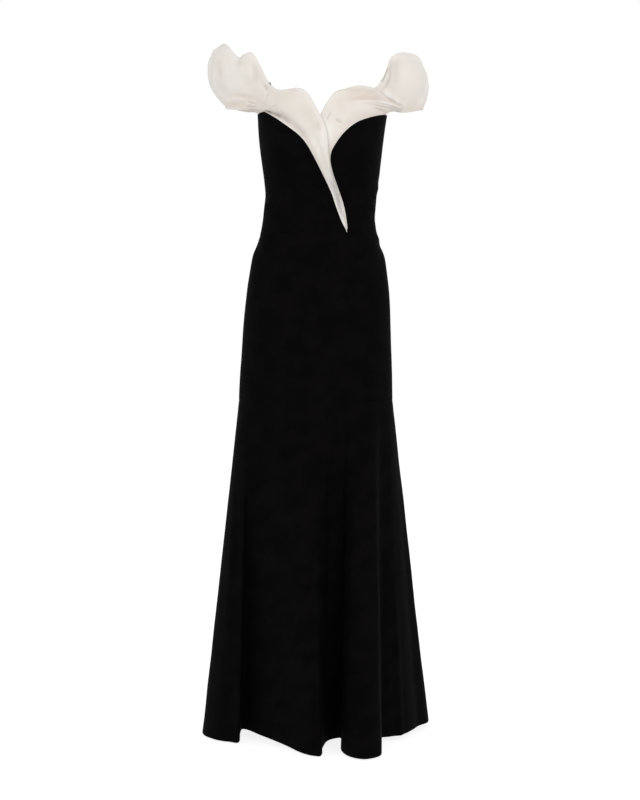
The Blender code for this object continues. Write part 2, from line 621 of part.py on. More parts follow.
def zip_tape(side, finish):
    """A tape inside the centre back seam, lying on the panels' inner faces."""
    sign = 1.0 if side == "left" else -1.0

    def surface(across, z):
        right, left, _, _ = smooth_rows(SECTION_LEVELS, SECTION_SIZES, z)
        lean = (across / ((left + right) / 2)) ** (SQUARENESS / 2)
        turn = 270 - sign * math.degrees(math.asin(lean))
        inward = -normal_of(body_point, turn, z)
        return body_point(turn, z) + inward * (CREPE_WALL + TAPE_CLEARANCE)
    return wall(f"zip_tape_{side}", surface, spread(TAPE_EDGE, TAPE_WIDTH, 2),
                spread(ZIP_BOTTOM, ZIP_TOP, TAPE_ROWS), TAPE_WALL, finish, outward=-sign)


def solid_outline(name, outline, thickness, finish, location, along="y"):
    """A flat outline given a thickness, centred on its location."""
    work = bmesh.new()
    half = thickness / 2
    if along == "y":
        corners = [(a, -half, b) for a, b in outline]
        reach = Vector((0, thickness, 0))
    else:
        corners = [(-half, a, b) for a, b in outline]
        reach = Vector((thickness, 0, 0))
    face = work.faces.new([work.verts.new(corner) for corner in corners])
    grown = bmesh.ops.extrude_face_region(work, geom=[face])
    moved = [item for item in grown["geom"] if isinstance(item, bmesh.types.BMVert)]
    bmesh.ops.translate(work, verts=moved, vec=reach)
    return body_of(name, work, finish, location)


def rod(name, radius, length, finish, location):
    """A round bar along X."""
    angles = [math.tau * step / ROUND_SIDES for step in range(ROUND_SIDES)]
    outline = [(radius * math.cos(angle), radius * math.sin(angle)) for angle in angles]
    return solid_outline(name, outline, length, finish, location, along="x")


def rectangle(width, height):
    return [(width / 2 * a, height / 2 * b) for a, b in ((-1, -1), (1, -1), (1, 1), (-1, 1))]


def combine(target, tool, operation):
    """Joins or cuts target by tool, which then stays as a hidden guide."""
    change = target.modifiers.new(tool.name, "BOOLEAN")
    change.operation = operation
    change.solver = "EXACT"
    change.object = tool
    tool.hide_render = True
    tool.display_type = "WIRE"


def zip_hardware(finish):
    """The slider at the top of the closed zip, and its pull tab on a pin across two lugs."""
    centre = body_point(270, SLIDER_TOP).item(0)
    back = max(body_point(270, SLIDER_TOP - SLIDER_HEIGHT * share).item(1) for share in (0.0, 0.5, 1.0))
    middle_y = back + SEAM_GAP + SLIDER_DEPTH / 2
    pin_y = middle_y + SLIDER_DEPTH / 2 + PIN_STAND
    pin_z = SLIDER_TOP - PIN_DROP

    slider = solid_outline("zip_slider", rectangle(SLIDER_WIDTH, SLIDER_HEIGHT), SLIDER_DEPTH, finish,
                           (centre, middle_y, SLIDER_TOP - SLIDER_HEIGHT / 2))
    lug_depth = PIN_STAND + LUG_RADIUS + SLIDER_DEPTH / 2
    for side, sign in (("left", 1), ("right", -1)):
        lug = solid_outline(f"slider_lug_{side}", rectangle(lug_depth, LUG_RADIUS * 2), LUG_WIDTH, finish,
                            (centre + sign * LUG_REACH, middle_y + lug_depth / 2, pin_z), along="x")
        combine(slider, lug, "UNION")
    pin = rod("slider_pin", PIN_RADIUS, LUG_REACH * 2, finish, (centre, pin_y, pin_z))
    combine(slider, pin, "UNION")

    eye_width = (LUG_REACH - LUG_WIDTH / 2 - PIN_SIDE_GAP) * 2
    tab = rod("zip_pull", EYE_OUTER, eye_width, finish, (centre, pin_y, pin_z))
    down_one_side = [(eye_width / 2, -EYE_INNER), (eye_width / 2, -TAB_NECK), (TAB_WIDTH / 2, -TAB_SHOULDER),
                     (TAB_WIDTH / 2, -TAB_CORNER), (TAB_TIP_WIDTH / 2, -TAB_LENGTH)]
    outline = down_one_side + [(-x, z) for x, z in reversed(down_one_side)]
    plate = solid_outline("pull_plate", outline, TAB_WALL, finish, (centre, pin_y, pin_z))
    combine(tab, plate, "UNION")
    hole = rod("pull_hole", EYE_INNER, eye_width * 2, finish, (centre, pin_y, pin_z))
    combine(tab, hole, "DIFFERENCE")


def main():
    for old in list(bpy.data.objects):
        bpy.data.objects.remove(old, do_unlink=True)
    crepe = material("black_crepe", (0.006, 0.005, 0.005), 0.75)
    organza = material("ivory_organza", (0.80, 0.75, 0.67), 0.55)
    enamel = material("black_enamel", (0.010, 0.010, 0.010), 0.35, 0.6)
    ribbon = material("black_ribbon", (0.008, 0.007, 0.007), 0.5)

    for side in ("right", "left"):
        bodice_front(side, crepe)
    bodice_back("left", BACK_LEFT_TURNS, crepe)
    bodice_back("right", BACK_RIGHT_TURNS, crepe)

    skirt("skirt_front", FRONT_TURNS, SKIRT_FRONT_COLUMNS, crepe)
    skirt("skirt_back_left", BACK_LEFT_TURNS, SKIRT_BACK_COLUMNS, crepe)
    skirt("skirt_back_right", BACK_RIGHT_TURNS, SKIRT_BACK_COLUMNS, crepe)

    hem = HemLine(FRONT_FOLDS + BACK_FOLDS[1:])
    flare("flare_front", hem, FRONT_TURNS, FLARE_FRONT_COLUMNS, crepe)
    flare("flare_back_left", hem, BACK_LEFT_TURNS, FLARE_BACK_COLUMNS, crepe)
    flare("flare_back_right", hem, BACK_RIGHT_TURNS, FLARE_BACK_COLUMNS, crepe)

    right_form = PetalForm("right", PETAL_RIGHT)
    left_form = PetalForm("left", PETAL_LEFT, PETAL_LEFT_TAPER)
    seam_rows = spread(0, 1, PANEL_ROWS)
    petal(right_form, "collar_petal_right", [PETAL_RIGHT_START] + seam_rows[1:], organza, 1.0)
    petal(left_form, "collar_petal_left",
          [PETAL_LEFT_START] + seam_rows[1:] + PETAL_LEFT_PAST_EDGE, organza, -1.0)

    flounce(FlounceForm("right", FLOUNCE_RIGHT, right_form), "shoulder_flounce_right", organza, 1.0)
    flounce(FlounceForm("left", FLOUNCE_LEFT, left_form), "shoulder_flounce_left", organza, -1.0)

    zip_tape("left", ribbon)
    zip_tape("right", ribbon)
    zip_hardware(enamel)

    strap("strap_right", STRAP_RIGHT, STRAP_RIGHT_ENDS, ribbon)
    strap("strap_left", STRAP_LEFT, STRAP_LEFT_ENDS, ribbon)


if __name__ == "__main__":
    main()
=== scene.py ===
"""Looks of the black trumpet gown: crepe panels with their folds, the organza collar, sewing, zip and stage.

Units are metres in the frame's axes: +Z is up, the front faces -Y, and the origin is the middle of the
waist. "right" and "left" are the wearer's, so the right side lies at -X.
"""
import json
import math
from collections import namedtuple

import bmesh
import bpy
import numpy as np
from bpy.props import FloatProperty, FloatVectorProperty, PointerProperty
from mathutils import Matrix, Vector


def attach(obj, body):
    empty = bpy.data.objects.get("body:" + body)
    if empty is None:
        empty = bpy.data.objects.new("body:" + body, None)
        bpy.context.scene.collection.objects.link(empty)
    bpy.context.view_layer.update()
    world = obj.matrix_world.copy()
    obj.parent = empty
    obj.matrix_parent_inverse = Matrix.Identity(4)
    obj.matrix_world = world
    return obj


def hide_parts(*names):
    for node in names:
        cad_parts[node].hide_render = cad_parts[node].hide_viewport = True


bl_info = {
    "name": "Trumpet Gown",
    "version": (1, 0, 0),
    "blender": (4, 5, 0),
    "location": "View3D > Sidebar > Gown",
    "description": "Dresses the packed gown in crepe and organza, with its sewing, zip and studio",
    "category": "Object",
}

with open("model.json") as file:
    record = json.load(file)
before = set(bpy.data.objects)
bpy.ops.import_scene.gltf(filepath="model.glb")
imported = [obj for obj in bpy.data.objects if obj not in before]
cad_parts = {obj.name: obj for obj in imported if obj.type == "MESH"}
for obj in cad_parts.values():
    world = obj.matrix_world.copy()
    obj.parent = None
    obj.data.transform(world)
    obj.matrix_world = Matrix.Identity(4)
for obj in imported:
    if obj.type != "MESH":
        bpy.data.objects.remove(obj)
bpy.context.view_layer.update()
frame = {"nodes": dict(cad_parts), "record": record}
SLOT_COLOURS = {entry["slot"]: entry["base_color"][:3] for entry in frame["record"]["materials"]}

# Levels of the seams and edges, as in the construction
SEAM_GAP = 0.0003
WAIST_SEAM = -0.071
BODICE_BOTTOM = WAIST_SEAM + SEAM_GAP / 2
TRUMPET_SEAM = -0.429
HEM = -1.161
SIDE_TOP = 0.196
BACK_TOP = 0.168
FLARE_DROP = TRUMPET_SEAM - HEM

# Body rings: 2 is an ellipse, and a higher number is squarer. Turns are in degrees, and panels end just
# short of each other.
SQUARENESS = 2.3
TURN_GAP = 0.05
FRONT_TURNS = (TURN_GAP, 180 - TURN_GAP)
BACK_TURNS = {"left": (180 + TURN_GAP, 270 - TURN_GAP), "right": (270 + TURN_GAP, 360 - TURN_GAP)}
SIDES = ("right", "left")
SIDE_TURN = {"right": FRONT_TURNS[0], "left": FRONT_TURNS[1]}

# Bust darts and the trough that runs into the flare's middle fold
CUP_CENTRES = (-0.070, 0.074)
CUP_LEVEL = 0.120
CUP_DEPTH = 0.012
CUP_HALF_WIDTH = 0.045
CUP_HALF_HEIGHT = 0.050
TROUGH_X = 0.053
TROUGH_DEPTH = 0.003
TROUGH_HALF_WIDTH = 0.020
TROUGH_TOP = -0.180

# The collar's petals and flounces, as in the construction. OUTWARD is the sense of a grid's own normal.
OUTWARD = {"right": 1.0, "left": -1.0}
PETAL_INSET = 0.0004
PETAL_SEAM_GAP = 2 * SEAM_GAP
SWELL_LEAN = 0.8
RIM_RISE = 0.3
FLOUNCE_BLEND = 0.16
FLOUNCE_TUCK = 0.006
FLOUNCE_LIFT = 0.06
FLOUNCE_REACH = 0.040
FLOUNCE_LEAN = 1.0
ORGANZA_SOLID = 0.0012
FLOUNCE_CLEARANCE = 0.0014
JOIN_STEP = 0.01
SEAM_STEP = 0.005
LOW_EDGE_SHARE = 0.02

# Straps: the crepe's wall and their own, the grid of their ribbon, and the rows and columns of the
# stitches at their ends
CREPE_SOLID = 0.0020
STRAP_SOLID = 0.0012
STRAP_WIDTH = 0.0060
STRAP_TUCK = 0.025
STRAP_ROWS = 140
STRAP_COLUMNS = (-1.0, -0.85, -0.6, -0.3, 0.0, 0.3, 0.6, 0.85, 1.0)
RIBBON_SHARE = 0.8
STRAP_SEWN_FROM = (6, -14)
STRAP_SEWN_ROWS = 8
STRAP_SEAMS = (-0.6, 0.0, 0.6)
STRAP_STITCH_SHARE = 0.45

# Zip: its levels, the turns of its teeth and of the tapes' seams, and depths from the crepe's outer face.
# The slider's and the tab's edges are rounded where two flat faces meet.
ZIP_TOP = 0.157
ZIP_BOTTOM = -0.268
ZIP_ROWS = 200
TOOTH_TURNS = (269.45, 270.55)
TAPE_SEAM_TURNS = (266.6, 268.2, 271.8, 273.4)
TAPE_INNER = CREPE_SOLID + 0.0020
TOOTH_DEPTH = TAPE_INNER + 0.0006
TAPE_SEAM_DEPTH = TAPE_INNER + 0.0001
SLIDER_BEVEL = 0.00018
TAB_BEVEL = 0.00014
MERGE_REACH = 1e-6
FLAT_ANGLE = math.radians(2)
SHARP_ANGLE = math.radians(40)

# Pressed seams dip a little at the panels' edges, and creases start a little way from them
SEAM_DIP = 0.0005
SEAM_DIP_WIDTH = 0.0022
SEWN_STILL = 0.004
FLARE_STILL = 0.060
EDGE_ROW = 0.0006
RIM_ROUND = 0.8

# The turned-up hem: how much thicker it makes the wall, and the step at its top
HEM_THICKER = 1.7
HEM_STEP = 0.0016

# Rows of stitches, just proud of the cloth
STITCH_PROUD = 0.0001
HEM_STITCH_DROP = 0.002
HEM_STITCH_STEPS = 900
HEM_ROW_STEP = 0.002
PETAL_STITCH_COLUMNS = (0.0, 0.03, 0.05, 0.07)
PETAL_STITCH_SPAN = (0.10, 0.985)
PETAL_STITCH_STEPS = 400

# Yarns, threads, ribs and knitted rows, as radians to a metre
CREPE_WEFT = 5200.0
CREPE_WARP = 4700.0
ORGANZA_THREADS = 9000.0
RIBBON_RIBS = 6300.0
TAPE_COLUMNS = 2400.0
TAPE_ROWS = 5200.0

# How far the crepe's pebbles shift its yarns, in radians, and how much the yarns add to its grain
WEFT_SHIFT = 5.0
WARP_SHIFT = 4.0
YARN_SHARE = 0.25

# The organza's alpha, and how far its thin places and its threads change it. Its thin places are where the
# tones are below 0, which is where the organza gets painted light.
ORGANZA_ALPHA = 0.92
THIN_ALPHA = 0.12
THREAD_ALPHA = 0.02

# Edges of a panel's grid, as the axis that leads away from each and the end of that axis
FIRST_ROW, LAST_ROW, FIRST_COLUMN, LAST_COLUMN = (0, 0), (0, 1), (1, 0), (1, 1)

# Grid of each kind of panel: how many steps across and along, and about how many metres they cover
Grid = namedtuple("Grid", "columns rows width length")
GRIDS = {
    "bodice_front": Grid(64, 90, 0.20, 0.30),
    "bodice_back": Grid(52, 70, 0.19, 0.25),
    "skirt_front": Grid(120, 80, 0.50, 0.36),
    "skirt_back": Grid(64, 80, 0.26, 0.36),
    "flare_front": Grid(300, 64, 0.757, FLARE_DROP),
    "flare_back": Grid(150, 64, 0.757, FLARE_DROP),
    "collar_petal": Grid(90, 320, 0.07, 0.40),
    "shoulder_flounce": Grid(90, 320, 0.12, 0.46),
}

# The body's reach to each side, to the front and to the back, from above the knees to the neck
Section = namedtuple("Section", "z right left front back")
SECTIONS = [
    Section(-0.430, 0.1794, 0.1588, 0.119, 0.122),
    Section(-0.350, 0.1752, 0.1566, 0.117, 0.126),
    Section(-0.271, 0.1694, 0.1544, 0.115, 0.132),
    Section(-0.191, 0.1619, 0.1507, 0.112, 0.127),
    Section(-0.139, 0.1533, 0.1451, 0.108, 0.116),
    Section(-0.112, 0.1480, 0.1398, 0.105, 0.108),
    Section(-0.086, 0.1382, 0.1300, 0.101, 0.099),
    Section(-0.059, 0.1308, 0.1238, 0.098, 0.091),
    Section(-0.033, 0.1264, 0.1199, 0.095, 0.085),
    Section(-0.007, 0.1236, 0.1217, 0.095, 0.083),
    Section(0.020, 0.1210, 0.1245, 0.099, 0.085),
    Section(0.046, 0.1230, 0.1278, 0.107, 0.089),
    Section(0.086, 0.1281, 0.1324, 0.121, 0.095),
    Section(0.125, 0.1329, 0.1372, 0.128, 0.098),
    Section(0.165, 0.1364, 0.1422, 0.124, 0.096),
    Section(0.191, 0.1379, 0.1459, 0.116, 0.093),
    Section(0.225, 0.1420, 0.1510, 0.104, 0.090),
    Section(0.262, 0.1500, 0.1580, 0.092, 0.088),
]

# The black neckline edges, from the point at the waist up to the armholes
Edge = namedtuple("Edge", "x z")
NECK_RIGHT = [
    Edge(0.0569, BODICE_BOTTOM), Edge(0.0455, -0.0485), Edge(0.0326, -0.0143), Edge(0.0230, 0.0137),
    Edge(0.0062, 0.0479), Edge(-0.0129, 0.0836), Edge(-0.0278, 0.1086), Edge(-0.0430, 0.1271),
    Edge(-0.0698, 0.1501), Edge(-0.1006, 0.1765), Edge(-0.1206, 0.1925),
]
NECK_LEFT = [
    Edge(0.0585, BODICE_BOTTOM), Edge(0.0562, -0.0482), Edge(0.0502, -0.0138), Edge(0.0362, 0.0268),
    Edge(0.0270, 0.0517), Edge(0.0212, 0.0766), Edge(0.0230, 0.0946), Edge(0.0325, 0.1123),
    Edge(0.0512, 0.1366), Edge(0.0779, 0.1599), Edge(0.1052, 0.1741), Edge(0.1370, 0.1885),
]

# The hem in plan: where each ridge and valley of the flare ends, and the turn it falls from
Fold = namedtuple("Fold", "turn x y lift")
FOLDS = [
    Fold(0, -0.2573, -0.011, 0.000), Fold(12, -0.2290, -0.058, 0.000), Fold(22, -0.1976, -0.080, 0.000),
    Fold(29, -0.1755, -0.086, 0.000), Fold(34, -0.1740, -0.058, 0.010), Fold(40, -0.1680, -0.032, 0.016),
    Fold(50, -0.1250, -0.078, 0.012), Fold(62, -0.0735, -0.133, 0.005), Fold(74, -0.0365, -0.179, 0.000),
    Fold(87, 0.0000, -0.203, 0.000), Fold(95, 0.0040, -0.160, 0.005), Fold(101, 0.0170, -0.114, 0.011),
    Fold(107, 0.0435, -0.098, 0.012), Fold(112, 0.0430, -0.160, 0.002), Fold(118, 0.0584, -0.203, 0.000),
    Fold(126, 0.0891, -0.226, 0.000), Fold(134, 0.1213, -0.203, 0.000), Fold(138, 0.1274, -0.168, 0.001),
    Fold(143, 0.1230, -0.098, 0.010), Fold(150, 0.1480, -0.072, 0.009), Fold(157, 0.1760, -0.052, 0.008),
    Fold(165, 0.2040, -0.010, 0.010), Fold(171, 0.2180, 0.024, 0.010), Fold(180, 0.2392, 0.055, 0.010),
    Fold(190, 0.2440, 0.102, 0.006), Fold(201, 0.2140, 0.136, 0.004), Fold(212, 0.1720, 0.142, 0.004),
    Fold(224, 0.1480, 0.196, 0.002), Fold(236, 0.1060, 0.232, 0.000), Fold(246, 0.0720, 0.192, 0.002),
    Fold(256, 0.0460, 0.180, 0.002), Fold(265, 0.0240, 0.226, 0.000), Fold(274, -0.0180, 0.252, 0.000),
    Fold(285, -0.0560, 0.214, 0.000), Fold(296, -0.0780, 0.178, 0.002), Fold(306, -0.1100, 0.190, 0.002),
    Fold(316, -0.1480, 0.214, 0.000), Fold(327, -0.1800, 0.172, 0.002), Fold(337, -0.1980, 0.132, 0.003),
    Fold(346, -0.2330, 0.114, 0.001), Fold(353, -0.2560, 0.066, 0.000), Fold(360, -0.2573, -0.011, 0.000),
]

# The petals' free edges. share is the way along the black edge, x and z the place of the free edge,
# stand how far it stands off the body, and swell the rise of the petal's middle.
Petal = namedtuple("Petal", "share x z stand swell")
PETAL_RIGHT = [
    Petal(0.01, 0.0566, -0.0704, 0.0014, 0.0000), Petal(0.12, 0.0506, -0.0400, 0.0030, 0.0006),
    Petal(0.20, 0.0446, -0.0130, 0.0036, 0.0010), Petal(0.29, 0.0370, 0.0160, 0.0045, 0.0012),
    Petal(0.39, 0.0244, 0.0470, 0.0058, 0.0016), Petal(0.50, 0.0169, 0.0874, 0.0070, 0.0030),
    Petal(0.58, 0.0143, 0.1280, 0.0080, 0.0050), Petal(0.645, 0.0064, 0.1558, 0.0100, 0.0070),
    Petal(0.70, -0.0021, 0.1713, 0.0130, 0.0080), Petal(0.75, -0.0163, 0.1979, 0.0170, 0.0090),
    Petal(0.80, -0.0296, 0.2185, 0.0200, 0.0095), Petal(0.855, -0.0487, 0.2278, 0.0200, 0.0095),
    Petal(0.91, -0.0744, 0.2272, 0.0150, 0.0090), Petal(0.955, -0.0910, 0.2307, 0.0090, 0.0080),
    Petal(1.00, -0.1047, 0.2424, 0.0050, 0.0070),
]
PETAL_LEFT = [
    Petal(0.020, 0.0568, -0.0650, 0.0006, 0.0000), Petal(0.14, 0.0484, -0.0250, 0.0006, 0.0000),
    Petal(0.21, 0.0370, -0.0060, 0.0006, 0.0000), Petal(0.29, 0.0245, 0.0264, 0.0008, 0.0002),
    Petal(0.36, 0.0127, 0.0504, 0.0010, 0.0004), Petal(0.43, 0.0053, 0.0762, 0.0014, 0.0008),
    Petal(0.48, 0.0011, 0.0982, 0.0020, 0.0016), Petal(0.53, -0.0021, 0.1225, 0.0030, 0.0030),
    Petal(0.60, -0.0032, 0.1467, 0.0044, 0.0040), Petal(0.66, -0.0005, 0.1681, 0.0070, 0.0055),
    Petal(0.715, 0.0147, 0.1985, 0.0140, 0.0075), Petal(0.76, 0.0310, 0.2190, 0.0180, 0.0090),
    Petal(0.805, 0.0529, 0.2257, 0.0200, 0.0095), Petal(0.85, 0.0742, 0.2335, 0.0200, 0.0095),
    Petal(0.90, 0.0914, 0.2365, 0.0180, 0.0090), Petal(0.95, 0.1105, 0.2354, 0.0130, 0.0080),
    Petal(1.00, 0.1223, 0.2340, 0.0100, 0.0070),
]

# Past its black edge the left petal tapers out in front of the arm
Taper = namedtuple("Taper", "share low_x low_y low_z high_x high_y high_z swell")
PETAL_LEFT_TAPER = [
    Taper(1.05, 0.1560, -0.0490, 0.1965, 0.1417, -0.0660, 0.2222, 0.00300),
    Taper(1.10, 0.1700, -0.0465, 0.1990, 0.1585, -0.0570, 0.2132, 0.00150),
    Taper(1.15, 0.1830, -0.0430, 0.2030, 0.1810, -0.0460, 0.2055, 0.00060),
]

# The shoulder flounces, a row for each wave: the edge that hugs the arm, the free rim, and the swell
Wave = namedtuple("Wave", "low_x low_y low_z rim_x rim_y rim_z swell")
FLOUNCE_RIGHT = [
    Wave(-0.1230, -0.0560, 0.1960, -0.1060, -0.0740, 0.2455, 0.012),
    Wave(-0.1460, -0.0540, 0.1995, -0.1260, -0.0740, 0.2890, 0.020),
    Wave(-0.1640, -0.0490, 0.2000, -0.1475, -0.0620, 0.3190, 0.024),
    Wave(-0.1810, -0.0410, 0.2010, -0.1640, -0.0500, 0.3195, 0.025),
    Wave(-0.1950, -0.0280, 0.2050, -0.1770, -0.0340, 0.3160, 0.026),
    Wave(-0.2046, -0.0120, 0.2088, -0.1900, -0.0210, 0.3300, 0.028),
    Wave(-0.2090, 0.0060, 0.2158, -0.2030, -0.0070, 0.3475, 0.029),
    Wave(-0.2108, 0.0240, 0.2210, -0.2160, 0.0110, 0.3565, 0.029),
    Wave(-0.2078, 0.0440, 0.2228, -0.2420, 0.0400, 0.3435, 0.029),
    Wave(-0.1940, 0.0680, 0.2245, -0.2430, 0.0820, 0.3250, 0.026),
    Wave(-0.1660, 0.0860, 0.2225, -0.2020, 0.1160, 0.3050, 0.020),
    Wave(-0.1410, 0.0930, 0.2200, -0.1520, 0.1220, 0.2700, 0.012),
    Wave(-0.1120, 0.0945, 0.1870, -0.1080, 0.1080, 0.2180, 0.003),
]
FLOUNCE_LEFT = [
    Wave(0.1270, -0.0460, 0.2030, 0.1240, -0.0620, 0.2490, 0.006),
    Wave(0.1500, -0.0400, 0.2030, 0.1430, -0.0520, 0.2890, 0.012),
    Wave(0.1710, -0.0400, 0.1962, 0.1530, -0.0440, 0.3130, 0.018),
    Wave(0.1910, -0.0300, 0.1980, 0.1700, -0.0360, 0.3250, 0.025),
    Wave(0.2140, -0.0100, 0.2060, 0.1920, -0.0140, 0.3310, 0.026),
    Wave(0.2255, 0.0160, 0.2155, 0.2145, 0.0160, 0.3310, 0.018),
    Wave(0.2245, 0.0450, 0.2185, 0.2290, 0.0520, 0.3180, 0.016),
    Wave(0.1940, 0.0700, 0.2195, 0.2160, 0.0920, 0.3020, 0.019),
    Wave(0.1580, 0.0850, 0.2225, 0.1800, 0.1150, 0.2840, 0.017),
    Wave(0.1370, 0.0920, 0.2070, 0.1440, 0.1190, 0.2560, 0.010),
    Wave(0.1140, 0.0945, 0.1870, 0.1120, 0.1070, 0.2170, 0.003),
]
ARM_CENTRES = {"right": (-0.165, 0.015), "left": (0.168, 0.020)}

# The share of its seam that each petal starts and ends at, and that its flounce leaves it at
PETAL_SPAN = {"right": (0.01, 1.0), "left": (0.02, 1.145)}
FLOUNCE_JOIN = {"right": 1.0, "left": 0.97}

# Where each strap passes over the shoulder, and the turns and levels that it ends at
Crest = namedtuple("Crest", "x y z")
StrapEnd = namedtuple("StrapEnd", "turn level clearance")
STRAPS = {
    "right": ([Crest(-0.1085, -0.057, 0.2500), Crest(-0.1310, -0.046, 0.2690), Crest(-0.1440, -0.032, 0.2960),
               Crest(-0.1460, -0.005, 0.3080), Crest(-0.1400, 0.030, 0.2980), Crest(-0.1200, 0.056, 0.2500)],
              (StrapEnd(30, 0.185, 0.0030), StrapEnd(318, 0.170, 0.00085))),
    "left": ([Crest(0.1300, -0.046, 0.2520), Crest(0.1440, -0.034, 0.2800), Crest(0.1520, -0.024, 0.2985),
              Crest(0.1560, -0.002, 0.3080), Crest(0.1490, 0.030, 0.2980), Crest(0.1260, 0.056, 0.2500)],
             (StrapEnd(150, 0.183, 0.0030), StrapEnd(222, 0.170, 0.00085))),
}
STRAP_LEAN = (0.5, -0.2, 1.0)

# Creases, given one by one: how wide, how deep (a ridge where it is below 0), and a line of the piece's
# own places. On the body a place is the turn in degrees and the level.
Crease = namedtuple("Crease", "width depth line")
BODY_CREASES = [
    Crease(0.007, 0.0012, [(2, 0.01), (22, 0.013), (44, 0.022)]),
    Crease(0.0055, 0.0009, [(8, -0.022), (36, -0.012)]),
    Crease(0.0075, 0.0013, [(177, 0.002), (160, 0.008), (142, 0.018)]),
    Crease(0.006, 0.0009, [(172, -0.032), (150, -0.02)]),
    Crease(0.009, 0.001, [(20, 0.058), (38, 0.07), (52, 0.094)]),
    Crease(0.01, 0.0011, [(160, 0.056), (144, 0.07), (132, 0.092)]),
    Crease(0.0085, -0.0018, [(156, -0.073), (176, -0.0755), (194, -0.077)]),
    Crease(0.008, -0.0012, [(162, 0.036), (180, 0.034), (196, 0.035)]),
    Crease(0.0075, 0.0014, [(183, 0.004), (204, 0.008), (228, 0.02)]),
    Crease(0.007, 0.0012, [(192, -0.028), (216, -0.024), (240, -0.012)]),
    Crease(0.007, 0.0014, [(357, 0.01), (338, 0.014), (316, 0.024)]),
    Crease(0.007, 0.0011, [(350, -0.02), (328, -0.018), (304, -0.006)]),
    Crease(0.009, 0.001, [(204, 0.052), (222, 0.056), (242, 0.072)]),
    Crease(0.009, 0.001, [(338, 0.048), (318, 0.056), (300, 0.076)]),
    Crease(0.011, 0.0014, [(5, -0.082), (18, -0.096), (34, -0.13)]),
    Crease(0.012, 0.0013, [(175, -0.084), (164, -0.104), (148, -0.142)]),
    Crease(0.01, 0.0009, [(48, -0.088), (53, -0.14), (56, -0.205)]),
    Crease(0.011, 0.0009, [(127, -0.086), (122, -0.14), (121, -0.195)]),
    Crease(0.015, 0.0013, [(16, -0.338), (44, -0.318), (72, -0.3)]),
    Crease(0.015, 0.0013, [(170, -0.356), (144, -0.338), (116, -0.316)]),
    Crease(0.011, 0.0015, [(190, -0.086), (206, -0.108), (228, -0.152)]),
    Crease(0.011, 0.0014, [(352, -0.084), (336, -0.108), (314, -0.148)]),
    Crease(0.015, 0.0017, [(206, -0.302), (234, -0.29), (262, -0.266)]),
    Crease(0.015, 0.0016, [(340, -0.312), (310, -0.3), (280, -0.274)]),
    Crease(0.013, 0.0012, [(200, -0.384), (226, -0.372), (252, -0.35)]),
    Crease(0.013, 0.0012, [(346, -0.39), (318, -0.38), (290, -0.356)]),
]

# On the flare a place is the share of the hem's length, from the right side seam round by the front,
# and the share of the drop from the seam to the hem
FLARE_CREASES = [
    Crease(0.01, 0.003, [(0.045, 0.15), (0.05, 0.6), (0.052, 1.2)]),
    Crease(0.011, 0.003, [(0.205, 0.25), (0.212, 0.7), (0.212, 1.2)]),
    Crease(0.011, 0.0026, [(0.262, 0.05), (0.258, 0.5), (0.256, 0.95)]),
    Crease(0.012, 0.003, [(0.408, 0.3), (0.413, 0.75), (0.412, 1.2)]),
    Crease(0.008, -0.002, [(0.436, 0.55), (0.434, 0.8), (0.436, 1.25)]),
    Crease(0.009, 0.0024, [(0.452, 0.2), (0.447, 0.6), (0.448, 1.15)]),
    Crease(0.008, -0.002, [(0.47, 0.5), (0.472, 0.8), (0.47, 1.25)]),
    Crease(0.012, 0.0032, [(0.56, 0.1), (0.553, 0.6), (0.552, 1.2)]),
    Crease(0.013, 0.0034, [(0.64, 0.2), (0.647, 0.7), (0.648, 1.2)]),
    Crease(0.011, 0.0026, [(0.706, 0.05), (0.7, 0.5), (0.7, 0.95)]),
    Crease(0.013, 0.0034, [(0.782, 0.22), (0.789, 0.7), (0.79, 1.2)]),
    Crease(0.012, 0.003, [(0.868, 0.1), (0.861, 0.6), (0.86, 1.1)]),
    Crease(0.012, 0.003, [(0.946, 0.2), (0.951, 0.7), (0.952, 1.2)]),
]

# On the petals a place is the share from the black edge (0) to the free edge (1), and the share along
PETAL_RIGHT_CREASES = [
    Crease(0.0062, 0.0016, [(0.085, 0.958), (0.115, 0.908), (0.095, 0.849), (0.08, 0.79),
                            (0.075, 0.72), (0.035, 0.656), (0.005, 0.597)]),
    Crease(0.002, 0.0007, [(0.11, 0.985), (0.215, 0.965), (0.375, 0.936), (0.485, 0.908)]),
    Crease(0.0022, -0.0008, [(0.115, 0.968), (0.275, 0.938), (0.385, 0.901), (0.43, 0.866)]),
    Crease(0.002, 0.0008, [(0.165, 0.938), (0.26, 0.906), (0.32, 0.884)]),
    Crease(0.002, 0.0012, [(0.935, 0.908), (0.92, 0.879), (0.91, 0.849), (0.895, 0.817), (0.885, 0.787)]),
    Crease(0.002, -0.0009, [(1.0, 0.918), (1.0, 0.884), (0.985, 0.851), (0.985, 0.814), (0.97, 0.775)]),
    Crease(0.0031, 0.001, [(0.75, 0.663), (0.72, 0.634), (0.745, 0.604)]),
    Crease(0.0099, 0.0022, [(0.62, 1.05), (0.6, 0.9), (0.66, 0.76)]),
    Crease(0.0048, 0.0012, [(0.4, 0.62), (0.46, 0.5), (0.48, 0.36)]),
    Crease(0.0026, 0.0007, [(0.355, 0.567), (0.17, 0.552), (0.115, 0.525)]),
    Crease(0.0015, 0.0007, [(0.7, 0.36), (0.55, 0.25), (0.5, 0.12)]),
    Crease(0.0013, -0.0006, [(0.38, 0.3), (0.34, 0.2), (0.36, 0.1)]),
]
